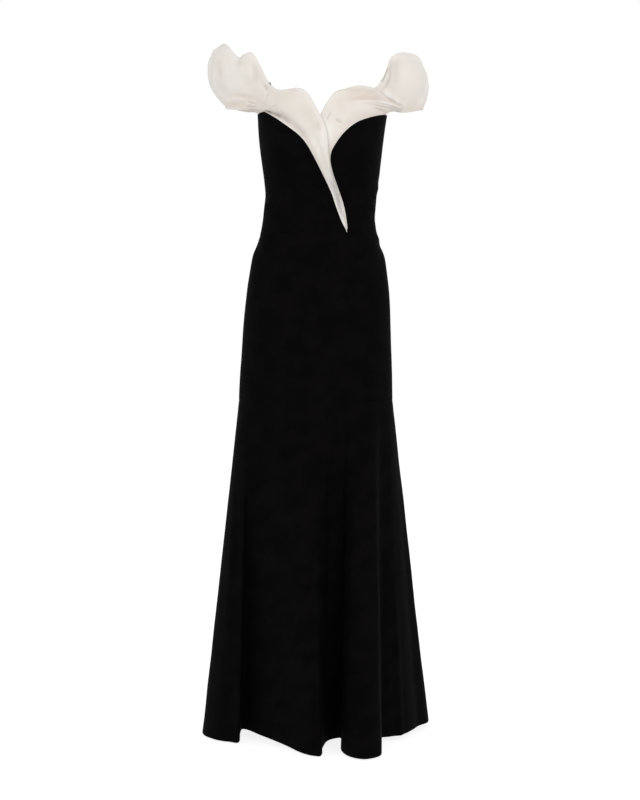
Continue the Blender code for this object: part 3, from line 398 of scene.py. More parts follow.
PETAL_LEFT_CREASES = [
    Crease(0.0075, 0.0014, [(0.78, 0.765), (0.69, 0.819), (0.615, 0.897), (0.63, 1.002)]),
    Crease(0.0022, -0.0019, [(0.555, 0.799), (0.495, 0.864), (0.485, 0.943), (0.47, 1.018),
                             (0.495, 1.083), (0.335, 1.134)]),
    Crease(0.0018, 0.0011, [(0.44, 0.847), (0.375, 0.912), (0.31, 0.985), (0.22, 1.032), (0.07, 1.08)]),
    Crease(0.0015, -0.0008, [(0.32, 0.912), (0.255, 0.973), (0.15, 1.024)]),
    Crease(0.0015, 0.0007, [(0.255, 0.914), (0.19, 0.971), (0.1, 1.01)]),
    Crease(0.0022, 0.0009, [(0.7, 0.703), (0.735, 0.681), (0.755, 0.647)]),
    Crease(0.0033, 0.0014, [(0.45, 0.698), (0.36, 0.698), (0.235, 0.709)]),
    Crease(0.0044, 0.0008, [(0.23, 0.706), (0.105, 0.737), (0.025, 0.765)]),
    Crease(0.002, 0.001, [(0.985, 0.754), (0.98, 0.777), (0.97, 0.805), (0.91, 0.833)]),
    Crease(0.002, -0.0008, [(1.0, 0.751), (1.0, 0.779), (1.0, 0.813), (0.985, 0.864), (0.965, 0.923)]),
    Crease(0.0013, 0.0006, [(0.3, 0.42), (0.2, 0.3), (0.3, 0.16)]),
]

# On the flounces a place is the share from the arm (0) to the rim (1), and the share from front to back
FLOUNCE_RIGHT_CREASES = [
    Crease(0.007, 0.0008, [(0.895, 0.143), (0.7, 0.133), (0.425, 0.13)]),
    Crease(0.004, -0.0007, [(0.845, 0.182), (0.625, 0.168), (0.385, 0.155)]),
    Crease(0.011, -0.0026, [(0.83, 0.048), (0.565, 0.007), (1.0, 0.97)]),
    Crease(0.004, 0.0008, [(0.24, 0.355), (0.215, 0.225), (0.2, 0.14), (0.23, 0.083)]),
    Crease(0.0033, -0.0006, [(0.165, 0.34), (0.155, 0.242), (0.13, 0.158)]),
    Crease(0.0048, 0.0008, [(0.085, 0.35), (0.085, 0.24), (0.065, 0.143)]),
    Crease(0.002, 0.0005, [(0.14, 0.168), (0.11, 0.125), (0.12, 0.08)]),
    Crease(0.002, -0.0006, [(0.11, 0.175), (0.075, 0.122), (0.09, 0.07)]),
    Crease(0.002, 0.0005, [(0.055, 0.18), (0.03, 0.12), (0.03, 0.072)]),
    Crease(0.0077, 0.0008, [(1.1, 0.345), (0.97, 0.343), (0.82, 0.325)]),
    Crease(0.0132, 0.0008, [(1.1, 0.5), (0.75, 0.485), (0.4, 0.44)]),
    Crease(0.009, 0.0024, [(-0.1, 0.56), (0.2, 0.6), (0.45, 0.62)]),
    Crease(0.0099, 0.0028, [(1.1, 0.69), (0.7, 0.68), (0.4, 0.65)]),
    Crease(0.0079, 0.0026, [(-0.1, 0.79), (0.25, 0.775), (0.55, 0.765)]),
    Crease(0.007, 0.0026, [(1.1, 0.85), (0.6, 0.87), (0.25, 0.88)]),
    Crease(0.004, 0.002, [(0.8, 1.02), (0.55, 0.96), (0.35, 0.9)]),
    Crease(0.0035, 0.0018, [(0.4, 1.02), (0.3, 0.96), (0.15, 0.91)]),
]
FLOUNCE_LEFT_CREASES = [
    Crease(0.0026, 0.0011, [(0.8, 0.163), (0.67, 0.135), (0.62, 0.107), (0.635, 0.072)]),
    Crease(0.0031, -0.0007, [(0.745, 0.19), (0.57, 0.163), (0.47, 0.125)]),
    Crease(0.0031, 0.0008, [(0.965, 0.225), (0.89, 0.188), (0.78, 0.163)]),
    Crease(0.0088, -0.003, [(0.5, 0.085), (0.23, 0.138), (0.12, 0.21)]),
    Crease(0.011, 0.0014, [(1.1, 0.4), (0.75, 0.385), (0.5, 0.36)]),
    Crease(0.0099, 0.0026, [(1.1, 0.56), (0.7, 0.555), (0.35, 0.54)]),
    Crease(0.0079, 0.0024, [(-0.1, 0.64), (0.2, 0.65), (0.5, 0.64)]),
    Crease(0.009, 0.0026, [(1.1, 0.745), (0.7, 0.735), (0.4, 0.71)]),
    Crease(0.007, 0.0022, [(-0.1, 0.85), (0.25, 0.84), (0.55, 0.82)]),
    Crease(0.004, 0.002, [(0.85, 1.02), (0.6, 0.96), (0.4, 0.9)]),
    Crease(0.0035, 0.0018, [(0.35, 1.02), (0.25, 0.96), (0.12, 0.91)]),
]

# Tones placed as the creases are, painted into the organza's colour: how wide, how warm where the cloth lies
# double and, as painted shade, in its shaded folds, and how much of the black behind shows through it with
# painted shade where it is above 0, or painted light where it is below 0
Tone = namedtuple("Tone", "width warm veil line")
PETAL_RIGHT_TONES = [
    Tone(0.0026, 0.1, 0.85, [(0.015, 1.0), (0.05, 0.973), (0.075, 0.941)]),
    Tone(0.0029, 0.1, 0.34, [(0.06, 0.948), (0.08, 0.906), (0.075, 0.864)]),
    Tone(0.0055, 0.0, -0.26, [(0.85, 0.631), (0.775, 0.587), (0.7, 0.537)]),
    Tone(0.0088, -0.7, 0.0, [(0.5, 0.4), (0.5, 0.28), (0.5, 0.16), (0.5, 0.03)]),
    Tone(0.0044, 0.1, 0.26, [(0.085, 0.958), (0.115, 0.894), (0.1, 0.834), (0.09, 0.79)]),
    Tone(0.0077, 0.05, 0.12, [(0.19, 0.916), (0.175, 0.837), (0.155, 0.767), (0.13, 0.703),
                              (0.075, 0.646)]),
    Tone(0.0066, 0.0, -0.25, [(0.275, 0.629), (0.3, 0.572), (0.335, 0.525)]),
    Tone(0.022, 0.16, 0.0, [(0.57, 0.941), (0.48, 0.817), (0.59, 0.708), (0.555, 0.604)]),
    Tone(0.0011, 0.0, -0.55, [(0.006, 0.93), (0.006, 0.8), (0.006, 0.7), (0.006, 0.6), (0.006, 0.42)]),
    Tone(0.0022, 0.15, 0.1, [(0.135, 0.978), (0.275, 0.953), (0.445, 0.918)]),
    Tone(0.0132, 0.05, 0.06, [(0.7, 0.78), (0.67, 0.73), (0.625, 0.676), (0.58, 0.614)]),
    Tone(0.0075, 0.16, 0.0, [(0.81, 0.923), (0.8, 0.886), (0.78, 0.842)]),
    Tone(0.0022, 0.1, 0.1, [(0.965, 0.911), (0.955, 0.881), (0.94, 0.851)]),
    Tone(0.0033, 0.1, 0.08, [(0.76, 0.666), (0.72, 0.634), (0.745, 0.604)]),
    Tone(0.0035, 0.05, 0.06, [(0.355, 0.567), (0.145, 0.554), (0.09, 0.52)]),
    Tone(0.0044, 0.0, 0.34, [(0.66, 0.37), (0.62, 0.28), (0.62, 0.2), (0.66, 0.11)]),
    Tone(0.0015, 0.0, 0.35, [(0.97, 0.46), (0.96, 0.36), (0.94, 0.27), (0.9, 0.18)]),
    Tone(0.002, 0.0, -0.42, [(0.06, 0.38), (0.06, 0.27), (0.07, 0.16), (0.1, 0.05)]),
]
PETAL_LEFT_TONES = [
    Tone(0.011, 0.4, 0.03, [(0.825, 0.774), (0.81, 0.83), (0.73, 0.903), (0.665, 0.987)]),
    Tone(0.0048, 0.3, 0.03, [(0.63, 0.83), (0.575, 0.881), (0.585, 0.94), (0.64, 1.018)]),
    Tone(0.004, 0.5, 0.04, [(0.69, 0.968), (0.79, 1.041), (0.985, 1.106), (0.48, 1.145)]),
    Tone(0.0066, 0.2, 0.05, [(0.705, 0.779), (0.62, 0.83), (0.555, 0.895)]),
    Tone(0.0053, 0.08, 0.11, [(0.965, 0.796), (0.915, 0.85), (0.885, 0.92), (0.92, 1.013)]),
    Tone(0.0088, 0.05, -0.2, [(0.37, 0.819), (0.29, 0.881), (0.19, 0.948)]),
    Tone(0.0198, 0.18, 0.0, [(0.635, 0.709), (0.52, 0.768), (0.355, 0.855), (0.235, 0.982)]),
    Tone(0.002, 0.1, -0.4, [(0.525, 0.824), (0.47, 0.889), (0.475, 0.959), (0.465, 1.03), (0.485, 1.097)]),
    Tone(0.002, 0.36, 0.04, [(0.405, 0.872), (0.355, 0.94), (0.29, 1.002), (0.22, 1.038)]),
    Tone(0.0029, 0.1, 0.2, [(0.22, 1.032), (0.07, 1.08), (0.0, 1.142)]),
    Tone(0.0018, 0.3, 0.1, [(0.255, 0.914), (0.195, 0.962), (0.11, 1.01)]),
    Tone(0.0088, 0.08, -0.07, [(0.455, 0.768), (0.37, 0.819), (0.265, 0.872)]),
    Tone(0.0099, 0.15, 0.0, [(0.83, 0.754), (0.58, 0.751), (0.34, 0.74)]),
    Tone(0.0031, 0.0, 0.07, [(0.995, 0.748), (0.99, 0.774), (0.995, 0.802), (0.945, 0.83)]),
    Tone(0.0035, 0.25, 0.14, [(0.465, 0.698), (0.37, 0.698), (0.24, 0.709)]),
    Tone(0.0044, 0.0, 0.05, [(0.195, 0.709), (0.105, 0.737), (0.05, 0.762)]),
    Tone(0.0022, 0.15, 0.1, [(0.705, 0.701), (0.73, 0.678), (0.755, 0.647)]),
    Tone(0.007, 0.03, -0.3, [(0.575, 0.667), (0.425, 0.619), (0.23, 0.566)]),
    Tone(0.002, 0.15, 0.35, [(0.35, 0.546), (0.2, 0.495), (0.26, 0.436), (0.395, 0.366)]),
    Tone(0.0033, 0.0, -0.42, [(0.925, 0.667), (0.725, 0.653), (0.525, 0.616), (0.36, 0.571)]),
]
FLOUNCE_RIGHT_TONES = [
    Tone(0.0101, -0.35, -0.3, [(0.93, 0.623), (0.81, 0.63), (0.535, 0.61), (0.3, 0.625),
                               (0.095, 0.54), (0.05, 0.413)]),
    Tone(0.007, 0.1, 0.04, [(0.775, 0.487), (0.665, 0.453), (0.55, 0.415)]),
    Tone(0.0132, -0.05, -0.28, [(0.75, 0.583), (0.495, 0.503), (0.275, 0.49), (0.14, 0.432)]),
    Tone(0.0088, 0.0, -0.12, [(0.715, 0.395), (0.44, 0.333), (0.275, 0.302)]),
    Tone(0.011, 0.05, -0.3, [(0.19, 0.36), (0.14, 0.242), (0.11, 0.133), (0.18, 0.052)]),
    Tone(0.0088, 0.0, -0.24, [(0.285, 0.432), (0.215, 0.395), (0.14, 0.33)]),
    Tone(0.0044, 0.05, 0.2, [(0.79, 0.07), (0.795, 0.05), (0.715, 0.04)]),
    Tone(0.0132, 0.14, -0.2, [(0.9, 0.34), (0.545, 0.295), (0.32, 0.247)]),
    Tone(0.0079, 0.0, 0.14, [(0.875, 0.143), (0.725, 0.128), (0.5, 0.125)]),
    Tone(0.004, 0.0, -0.1, [(1.0, 0.11), (1.0, 0.077), (0.945, 0.033)]),
    Tone(0.0048, 0.36, 0.05, [(0.225, 0.345), (0.195, 0.225), (0.185, 0.14), (0.22, 0.09)]),
    Tone(0.0062, 0.62, 0.02, [(0.095, 0.335), (0.085, 0.23), (0.075, 0.152)]),
    Tone(0.0022, 0.25, 0.1, [(0.145, 0.158), (0.11, 0.125), (0.11, 0.08)]),
    Tone(0.0035, 0.1, 0.04, [(0.0, 0.185), (0.045, 0.86), (0.085, 0.902)]),
    Tone(0.0035, -0.1, -0.55, [(0.0, 0.42), (0.0, 0.34), (0.0, 0.26), (0.0, 0.19)]),
    Tone(0.0053, 0.25, 0.03, [(0.175, 0.1), (0.225, 0.045), (0.245, 0.0)]),
    Tone(0.0308, 0.25, 0.03, [(0.1, 0.62), (0.15, 0.78), (0.12, 0.95)]),
]
FLOUNCE_LEFT_TONES = [
    Tone(0.0026, 0.2, 0.1, [(0.78, 0.163), (0.67, 0.135), (0.62, 0.107), (0.635, 0.072)]),
    Tone(0.004, 0.06, 0.13, [(0.63, 0.14), (0.58, 0.125), (0.525, 0.11)]),
    Tone(0.0035, 0.05, 0.16, [(0.985, 0.223), (0.9, 0.182), (0.765, 0.158)]),
    Tone(0.0035, -0.2, 0.12, [(0.975, 0.265), (0.96, 0.345), (0.955, 0.422), (0.925, 0.465)]),
    Tone(0.0022, 0.0, 0.46, [(0.95, 0.138), (0.95, 0.115), (0.945, 0.098), (0.925, 0.08)]),
    Tone(0.011, -0.1, -0.3, [(0.555, 0.46), (0.335, 0.448), (0.165, 0.432), (0.065, 0.367)]),
    Tone(0.0088, 0.05, -0.28, [(0.165, 0.143), (0.135, 0.223), (0.11, 0.297)]),
    Tone(0.0132, -0.3, 0.0, [(0.94, 0.448), (0.77, 0.448), (0.54, 0.42), (0.33, 0.403)]),
    Tone(0.011, 0.08, 0.11, [(0.94, 0.323), (0.825, 0.245), (0.625, 0.212), (0.445, 0.208)]),
    Tone(0.0066, 0.0, -0.05, [(0.455, 0.22), (0.335, 0.217), (0.23, 0.247)]),
    Tone(0.0075, 0.1, -0.42, [(0.465, 0.092), (0.24, 0.138), (0.12, 0.21)]),
    Tone(0.0035, 0.1, 0.06, [(0.045, 0.258), (0.045, 0.318), (0.05, 0.36)]),
    Tone(0.0308, 0.25, 0.03, [(0.1, 0.6), (0.15, 0.76), (0.12, 0.95)]),
]

# What each side of the collar is made from
Collar = namedtuple("Collar", "petal taper flounce petal_strokes flounce_strokes flush")
COLLAR = {
    "right": Collar(PETAL_RIGHT, (), FLOUNCE_RIGHT, (PETAL_RIGHT_CREASES, PETAL_RIGHT_TONES),
                    (FLOUNCE_RIGHT_CREASES, FLOUNCE_RIGHT_TONES), flush=True),
    "left": Collar(PETAL_LEFT, PETAL_LEFT_TAPER, FLOUNCE_LEFT, (PETAL_LEFT_CREASES, PETAL_LEFT_TONES),
                   (FLOUNCE_LEFT_CREASES, FLOUNCE_LEFT_TONES), flush=False),
}

# How creases and tones fade: a crease has a low ridge on each side and dies away at its ends, a tone is
# part faded at its ends, and the organza is painted warmer and darker by the arm, partly for the doubled
# cloth and partly as painted shade, and painted lighter by its rim as painted light
STROKE_STEPS = 14
RIPPLE = 0.3
RIPPLE_FADE = 3.0
TONE_START = 0.3
TONE_FADE = 3.2
LOW_WARMTH = 0.25
LOW_REACH = 0.35
RIM_LIGHT = 0.12
RIM_REACH = 0.18

# Flat cut of each piece of cloth: greatest width and length, and its area
Cut = namedtuple("Cut", "width length area held rests_on")


# Curves and surfaces

def smooth_rows(at, rows, value):
    """Rows of numbers read between their places, with no kink at a row."""
    at, rows = np.asarray(at, float), np.asarray(rows, float)
    single = rows.ndim == 1
    if single:
        rows = rows[:, None]
    index = np.arange(len(at))
    before, after = np.maximum(index - 1, 0), np.minimum(index + 1, len(at) - 1)
    slopes = (rows[after] - rows[before]) / (at[after] - at[before])[:, None]
    value = np.clip(value, at[0], at[-1])
    low = np.clip(np.searchsorted(at, value) - 1, 0, len(at) - 2)
    step = (at[low + 1] - at[low])[..., None]
    share = (value - at[low])[..., None] / step
    square, cube = share ** 2, share ** 3
    found = ((2 * cube - 3 * square + 1) * rows[low] + (cube - 2 * square + share) * step * slopes[low]
             + (3 * square - 2 * cube) * rows[low + 1] + (cube - square) * step * slopes[low + 1])
    return found[..., 0] if single else found


def curve_through(points):
    """A smooth curve through the points, read at a share of its chord length from 0 to 1."""
    points = np.array(points, dtype=float)
    steps = np.linalg.norm(np.diff(points, axis=0), axis=1)
    at = np.concatenate([[0.0], np.cumsum(steps)]) / steps.sum()
    return lambda share: smooth_rows(at, points, share)


def ease(share):
    """0 to 1 with a soft start and end."""
    share = np.clip(share, 0.0, 1.0)
    return share * share * (3 - 2 * share)


def arch(share, lean):
    """0 at both ends and 1 between them, nearer the start where lean is below 1."""
    return np.sin(np.pi * np.clip(share, 0.0, 1.0) ** lean)


def bell(distance, half_width):
    """1 at the middle, fading to nothing on both sides."""
    return np.exp(-(distance / half_width) ** 2)


def unit(vectors):
    """The same vectors, one metre long."""
    return vectors / np.linalg.norm(vectors, axis=-1, keepdims=True)


SECTION_LEVELS = np.array([row.z for row in SECTIONS])
SECTION_SIZES = np.array([row[1:] for row in SECTIONS])


def section(z):
    """The body's reach to the right, left, front and back at a level."""
    return np.moveaxis(smooth_rows(SECTION_LEVELS, SECTION_SIZES, z), -1, 0)


def front_relief(x, z):
    """How far the darts and the hip trough push the front out of its plain section."""
    cups = sum(bell(x - centre, CUP_HALF_WIDTH) for centre in CUP_CENTRES)
    fade = ease((TROUGH_TOP - z) / (TROUGH_TOP - TRUMPET_SEAM))
    return (CUP_DEPTH * cups * bell(z - CUP_LEVEL, CUP_HALF_HEIGHT)
            - TROUGH_DEPTH * fade * bell(x - TROUGH_X, TROUGH_HALF_WIDTH))


def body_point(turn, z):
    """A point of the cloth. Turn 0 is the right side seam, 90 the centre front, 270 the centre back."""
    right, left, front, back = section(z)
    across, along = np.cos(np.radians(turn)), np.sin(np.radians(turn))
    power = 2 / SQUARENESS
    x = (left - right) / 2 - (left + right) / 2 * np.sign(across) * abs(across) ** power
    y = -np.where(along > 0, front, back) * np.sign(along) * abs(along) ** power
    y = y - np.where(along > 0, front_relief(x, z) * along, 0.0)
    return np.stack(np.broadcast_arrays(x, y, z), axis=-1)


def turn_at(x, z):
    """The turn on the front where the cloth passes over x."""
    right, left, _, _ = section(z)
    across = np.clip(((left - right) / 2 - x) / ((left + right) / 2), -1.0, 1.0)
    return np.degrees(np.arccos(np.sign(across) * abs(across) ** (SQUARENESS / 2)))


def front_point(x, z, stand=0.0):
    """The front cloth at x and z, moved out towards the front by stand."""
    return body_point(turn_at(x, z), z) - np.multiply.outer(stand, (0.0, 1.0, 0.0))


def body_normal(turn, z, step=1e-3):
    """The way out of the body's cloth at a turn and a level."""
    along = body_point(turn + step, z) - body_point(turn - step, z)
    up = body_point(turn, z + step) - body_point(turn, z - step)
    return unit(np.cross(along, up))


NECK = {"right": curve_through(NECK_RIGHT), "left": curve_through(NECK_LEFT)}


def neck_edge(side, share):
    """x and z of the black neckline edge."""
    return np.moveaxis(NECK[side](share), -1, 0)


def bodice_front_surface(side):
    """A front panel from the side seam (u = 0) to the neckline edge (u = 1)."""
    def surface(u, v):
        x, z = neck_edge(side, v)
        level = BODICE_BOTTOM + (SIDE_TOP - BODICE_BOTTOM) * v
        turn = SIDE_TURN[side] + (turn_at(x, z) - SIDE_TURN[side]) * u
        return turn, level + (z - level) * u
    return surface


def bodice_back_surface(turns):
    """A back panel between two turns, whose top edge dips from the side seam to the zip."""
    def surface(u, v):
        turn = turns[0] + (turns[1] - turns[0]) * u
        top = BACK_TOP + (SIDE_TOP - BACK_TOP) * np.cos(np.radians(turn)) ** 2
        return turn, BODICE_BOTTOM + (top - BODICE_BOTTOM) * v
    return surface


def skirt_surface(turns):
    """A skirt panel between two turns, from the trumpet seam up to the waist seam."""
    low, high = TRUMPET_SEAM + SEAM_GAP / 2, WAIST_SEAM - SEAM_GAP / 2

    def surface(u, v):
        return turns[0] + (turns[1] - turns[0]) * u, low + (high - low) * v
    return surface


class HemLine:
    """The hem in plan, read at a share of its length from the right side seam.

    A few folds are repeated past each end, so that the curve is smooth all the way round.
    """

    def __init__(self, folds):
        more = 3
        before = [fold._replace(turn=fold.turn - 360) for fold in folds[-1 - more:-1]]
        after = [fold._replace(turn=fold.turn + 360) for fold in folds[1:1 + more]]
        rows = before + folds + after
        self.places = np.array([(fold.x, fold.y, fold.lift) for fold in rows])
        steps = np.linalg.norm(np.diff(self.places[:, :2], axis=0), axis=1)
        reach = np.concatenate([[0.0], np.cumsum(steps)])
        start, end = reach[more], reach[-more - 1]
        self.reach = (reach - start) / (end - start)
        self.turns = np.array([fold.turn for fold in rows], dtype=float)

    def point(self, share):
        """The hem's own points."""
        x, y, lift = np.moveaxis(smooth_rows(self.reach, self.places, share), -1, 0)
        return np.stack((x, y, HEM + lift), axis=-1)

    def turn(self, share):
        """The turn of the body that a share of the hem falls from."""
        return np.interp(share, self.reach, self.turns)

    def share(self, turn):
        """The share of the hem that a turn of the body falls to."""
        return float(np.interp(turn, self.turns, self.reach))


HEM_LINE = HemLine(FOLDS)


def flare_surface(u, v):
    """Straight falls of cloth: u is the share of the hem's length, and v the drop."""
    top = body_point(HEM_LINE.turn(u), np.asarray(TRUMPET_SEAM - SEAM_GAP / 2))
    return top + (HEM_LINE.point(u) - top) * v[..., None]


class PetalForm:
    """A collar petal between its black edge (u = 0) and its free edge (u = 1)."""

    def __init__(self, side, rows, taper=()):
        self.side = side
        self.shares = np.array([row.share for row in (*rows, *taper)])
        self.swell = np.array([row.swell for row in (*rows, *taper)])
        free = [front_point(row.x, row.z, row.stand) for row in rows]
        self.free = np.array(free + [(row.high_x, row.high_y, row.high_z) for row in taper])
        self.tail = np.array([self.seam(1.0)] + [(row.low_x, row.low_y, row.low_z) for row in taper])

    def seam(self, share):
        """The black edge, just inside the cloth's outer face and one gap away from its cut end."""
        share = np.minimum(share, 1.0)
        ahead = neck_edge(self.side, np.minimum(share + SEAM_STEP, 1.0))
        run, rise = ahead - neck_edge(self.side, share - SEAM_STEP)
        away = PETAL_SEAM_GAP / np.hypot(run, rise) * OUTWARD[self.side]
        x, z = neck_edge(self.side, share)
        return front_point(x + rise * away, z - run * away, -PETAL_INSET)

    def low(self, share):
        """The edge sewn to the bodice and, past the end of that seam, the taper's lower edge."""
        seam = self.seam(share)
        if len(self.tail) == 1:
            return seam
        past = smooth_rows(self.shares[-len(self.tail):], self.tail, np.maximum(share, 1.0))
        return np.where(np.asarray(share)[..., None] > 1.0, past, seam)

    def point(self, u, v):
        """The petal's outer face, u across it and v along it."""
        low = self.low(v)
        free = smooth_rows(self.shares, self.free, v)
        swell = smooth_rows(self.shares, self.swell, v)
        u, swell = np.broadcast_arrays(u, swell)
        rise = np.stack((np.zeros_like(u), -arch(u, SWELL_LEAN), RIM_RISE * u), axis=-1)
        return low + (free - low) * u[..., None] + rise * swell[..., None]


class FlounceForm:
    """A shoulder flounce from its petal, round the arm, to the back neckline.

    A flush flounce is sewn edge to edge to its petal, and the other comes out from behind it.
    """

    def __init__(self, side, waves, petal_form, flush):
        self.low = np.array([(row.low_x, row.low_y, row.low_z) for row in waves])
        self.rim = np.array([(row.rim_x, row.rim_y, row.rim_z) for row in waves])
        self.swell = np.array([row.swell for row in waves])
        self.at = np.linspace(0.0, 1.0, len(waves))
        self.centre = np.array((*ARM_CENTRES[side], 0.0))
        self.petal_form, self.join = petal_form, FLOUNCE_JOIN[side]
        self.outward = OUTWARD[side]
        self.behind = 0.0 if flush else ORGANZA_SOLID + FLOUNCE_CLEARANCE
        self.tuck = 0.0 if flush else FLOUNCE_TUCK
        self.lift = 0.0 if flush else FLOUNCE_LIFT

    def free_point(self, u, v):
        """The flounce's outer face where it stands free."""
        low = smooth_rows(self.at, self.low, v)
        rim = smooth_rows(self.at, self.rim, v)
        swell = smooth_rows(self.at, self.swell, v)
        out = ((low + rim) / 2 - self.centre) * (1.0, 1.0, 0.0)
        full = swell * arch(u, FLOUNCE_LEAN)
        return low + (rim - low) * u[..., None] + unit(out) * full[..., None]

    def tucked_point(self, u, along):
        """The same cloth carried on behind the petal, along metres from where it comes out."""
        form, step = self.petal_form, 1e-4
        u = self.lift + (1 - self.lift) * u
        edge = form.point(u, np.asarray(self.join))
        run = unit(edge - form.point(u, np.asarray(self.join - 2 * JOIN_STEP)))
        at, held = np.maximum(u, LOW_EDGE_SHARE), np.asarray(self.join - JOIN_STEP)
        across = form.point(at + step, held) - form.point(at - step, held)
        up = form.point(at, held + step) - form.point(at, held - step)
        inward = -self.outward * unit(np.cross(across, up))
        return edge + run * along[..., None] + inward * self.behind

    def point(self, u, v):
        """The flounce's outer face, u from the arm to the rim and v from front to back."""
        u, v = np.broadcast_arrays(u, v)
        part = np.minimum(v / FLOUNCE_BLEND, 1.0)
        tucked = self.tucked_point(u, -self.tuck + part * FLOUNCE_REACH)
        return tucked + (self.free_point(u, v) - tucked) * ease(part)[..., None]


# Folds and seams laid over the surfaces

def distance_to_path(points, path):
    """Metres from each point to the nearest place of a line of short steps, and that place's share."""
    nearest = np.full(points.shape[:-1], np.inf)
    share = np.zeros(points.shape[:-1])
    for index, (start, end) in enumerate(zip(path, path[1:])):
        run = end - start
        along = np.clip(((points - start) @ run) / max(run @ run, 1e-12), 0.0, 1.0)
        away = np.linalg.norm(points - start - along[..., None] * run, axis=-1)
        closer = away < nearest
        nearest = np.where(closer, away, nearest)
        share = np.where(closer, (index + along) / (len(path) - 1), share)
    return nearest, share


def distance_to_stroke(points, surface, line):
    """The same, to a smooth line through places of the surface."""
    places = curve_through(line)(np.linspace(0.0, 1.0, STROKE_STEPS))
    return distance_to_path(points, surface(places[:, 0], places[:, 1]))


def crease_relief(points, surface, creases, scale):
    """Soft troughs with a low ridge on each side, along lines that lie on a surface."""
    relief = np.zeros(points.shape[:-1])
    for crease in creases:
        away, share = distance_to_stroke(points, surface, crease.line)
        fade = ease(RIPPLE_FADE * share) * ease(RIPPLE_FADE * (1 - share))
        trough = bell(away, crease.width) - RIPPLE * bell(away - 2 * crease.width, crease.width)
        relief -= crease.depth * fade * trough
    return relief * scale


def tone_maps(points, surface, tones):
    """How warm and how veiled the cloth is at each point, from lines that lie on a surface. The warmth is
    partly painted shade, and the veiling is painted shade with the black behind showing through where it is
    above 0, and painted light where it is below 0.
    """
    warm, veil = np.zeros(points.shape[:-1]), np.zeros(points.shape[:-1])
    for tone in tones:
        away, share = distance_to_stroke(points, surface, tone.line)
        fade = ease(TONE_START + TONE_FADE * share) * ease(TONE_START + TONE_FADE * (1 - share))
        mark = bell(away, tone.width) * fade
        warm += tone.warm * mark
        veil += tone.veil * mark
    return warm, veil


def unevenness(points, wave, height):
    """A slight swell and hollow of the cloth, from a few waves that never line up."""
    x, y, z = np.moveaxis(points, -1, 0) / wave
    first = np.sin(1.7 * x + 0.9 * z + 0.4) * np.sin(1.1 * y - 1.3 * z + 2.1)
    second = np.sin(2.9 * x - 1.6 * y + 1.2) * np.sin(2.3 * z + 0.7 * x)
    third = np.sin(4.7 * z + 3.1 * x + 0.3) * np.sin(3.7 * y + 1.9 * z)
    return height * (0.6 * first + 0.3 * second + 0.15 * third)


def edge_distance(points, axis, end):
    """Metres along the cloth from one edge of the grid to each of its points."""
    steps = np.linalg.norm(np.diff(points, axis=axis), axis=-1)
    start = np.zeros_like(np.take(steps, [0], axis=axis))
    away = np.cumsum(np.concatenate((start, steps), axis=axis), axis=axis)
    return away if end == 0 else np.take(away, [-1], axis=axis) - away


def seam_relief(points, seams):
    """The dip along each sewn edge of the grid."""
    return -SEAM_DIP * sum(np.exp(-edge_distance(points, *seam) / SEAM_DIP_WIDTH) for seam in seams)


def grid_normals(points, outward):
    """The way out of the cloth at each point of a grid, rows up and columns across."""
    across, up = np.gradient(points, axis=1), np.gradient(points, axis=0)
    return outward * unit(np.cross(across, up))


def stations(start, end, count, reach):
    """Evenly spaced values with one more close to each end, where the wall's rim is rounded."""
    close = (end - start) * EDGE_ROW / reach
    inner = np.linspace(start, end, count + 1)[1:-1]
    return np.concatenate(([start, start + close], inner, [end - close, end]))


def grid_stations(node, across=(0.0, 1.0), along=(0.0, 1.0)):
    """The columns and rows of a panel's grid, from the table for its kind."""
    kind = next(kind for kind in GRIDS if node.startswith(kind))
    grid = GRIDS[kind]
    return (stations(*across, grid.columns, grid.width)[None, :],
            stations(*along, grid.rows, grid.length)[:, None])


# Meshes

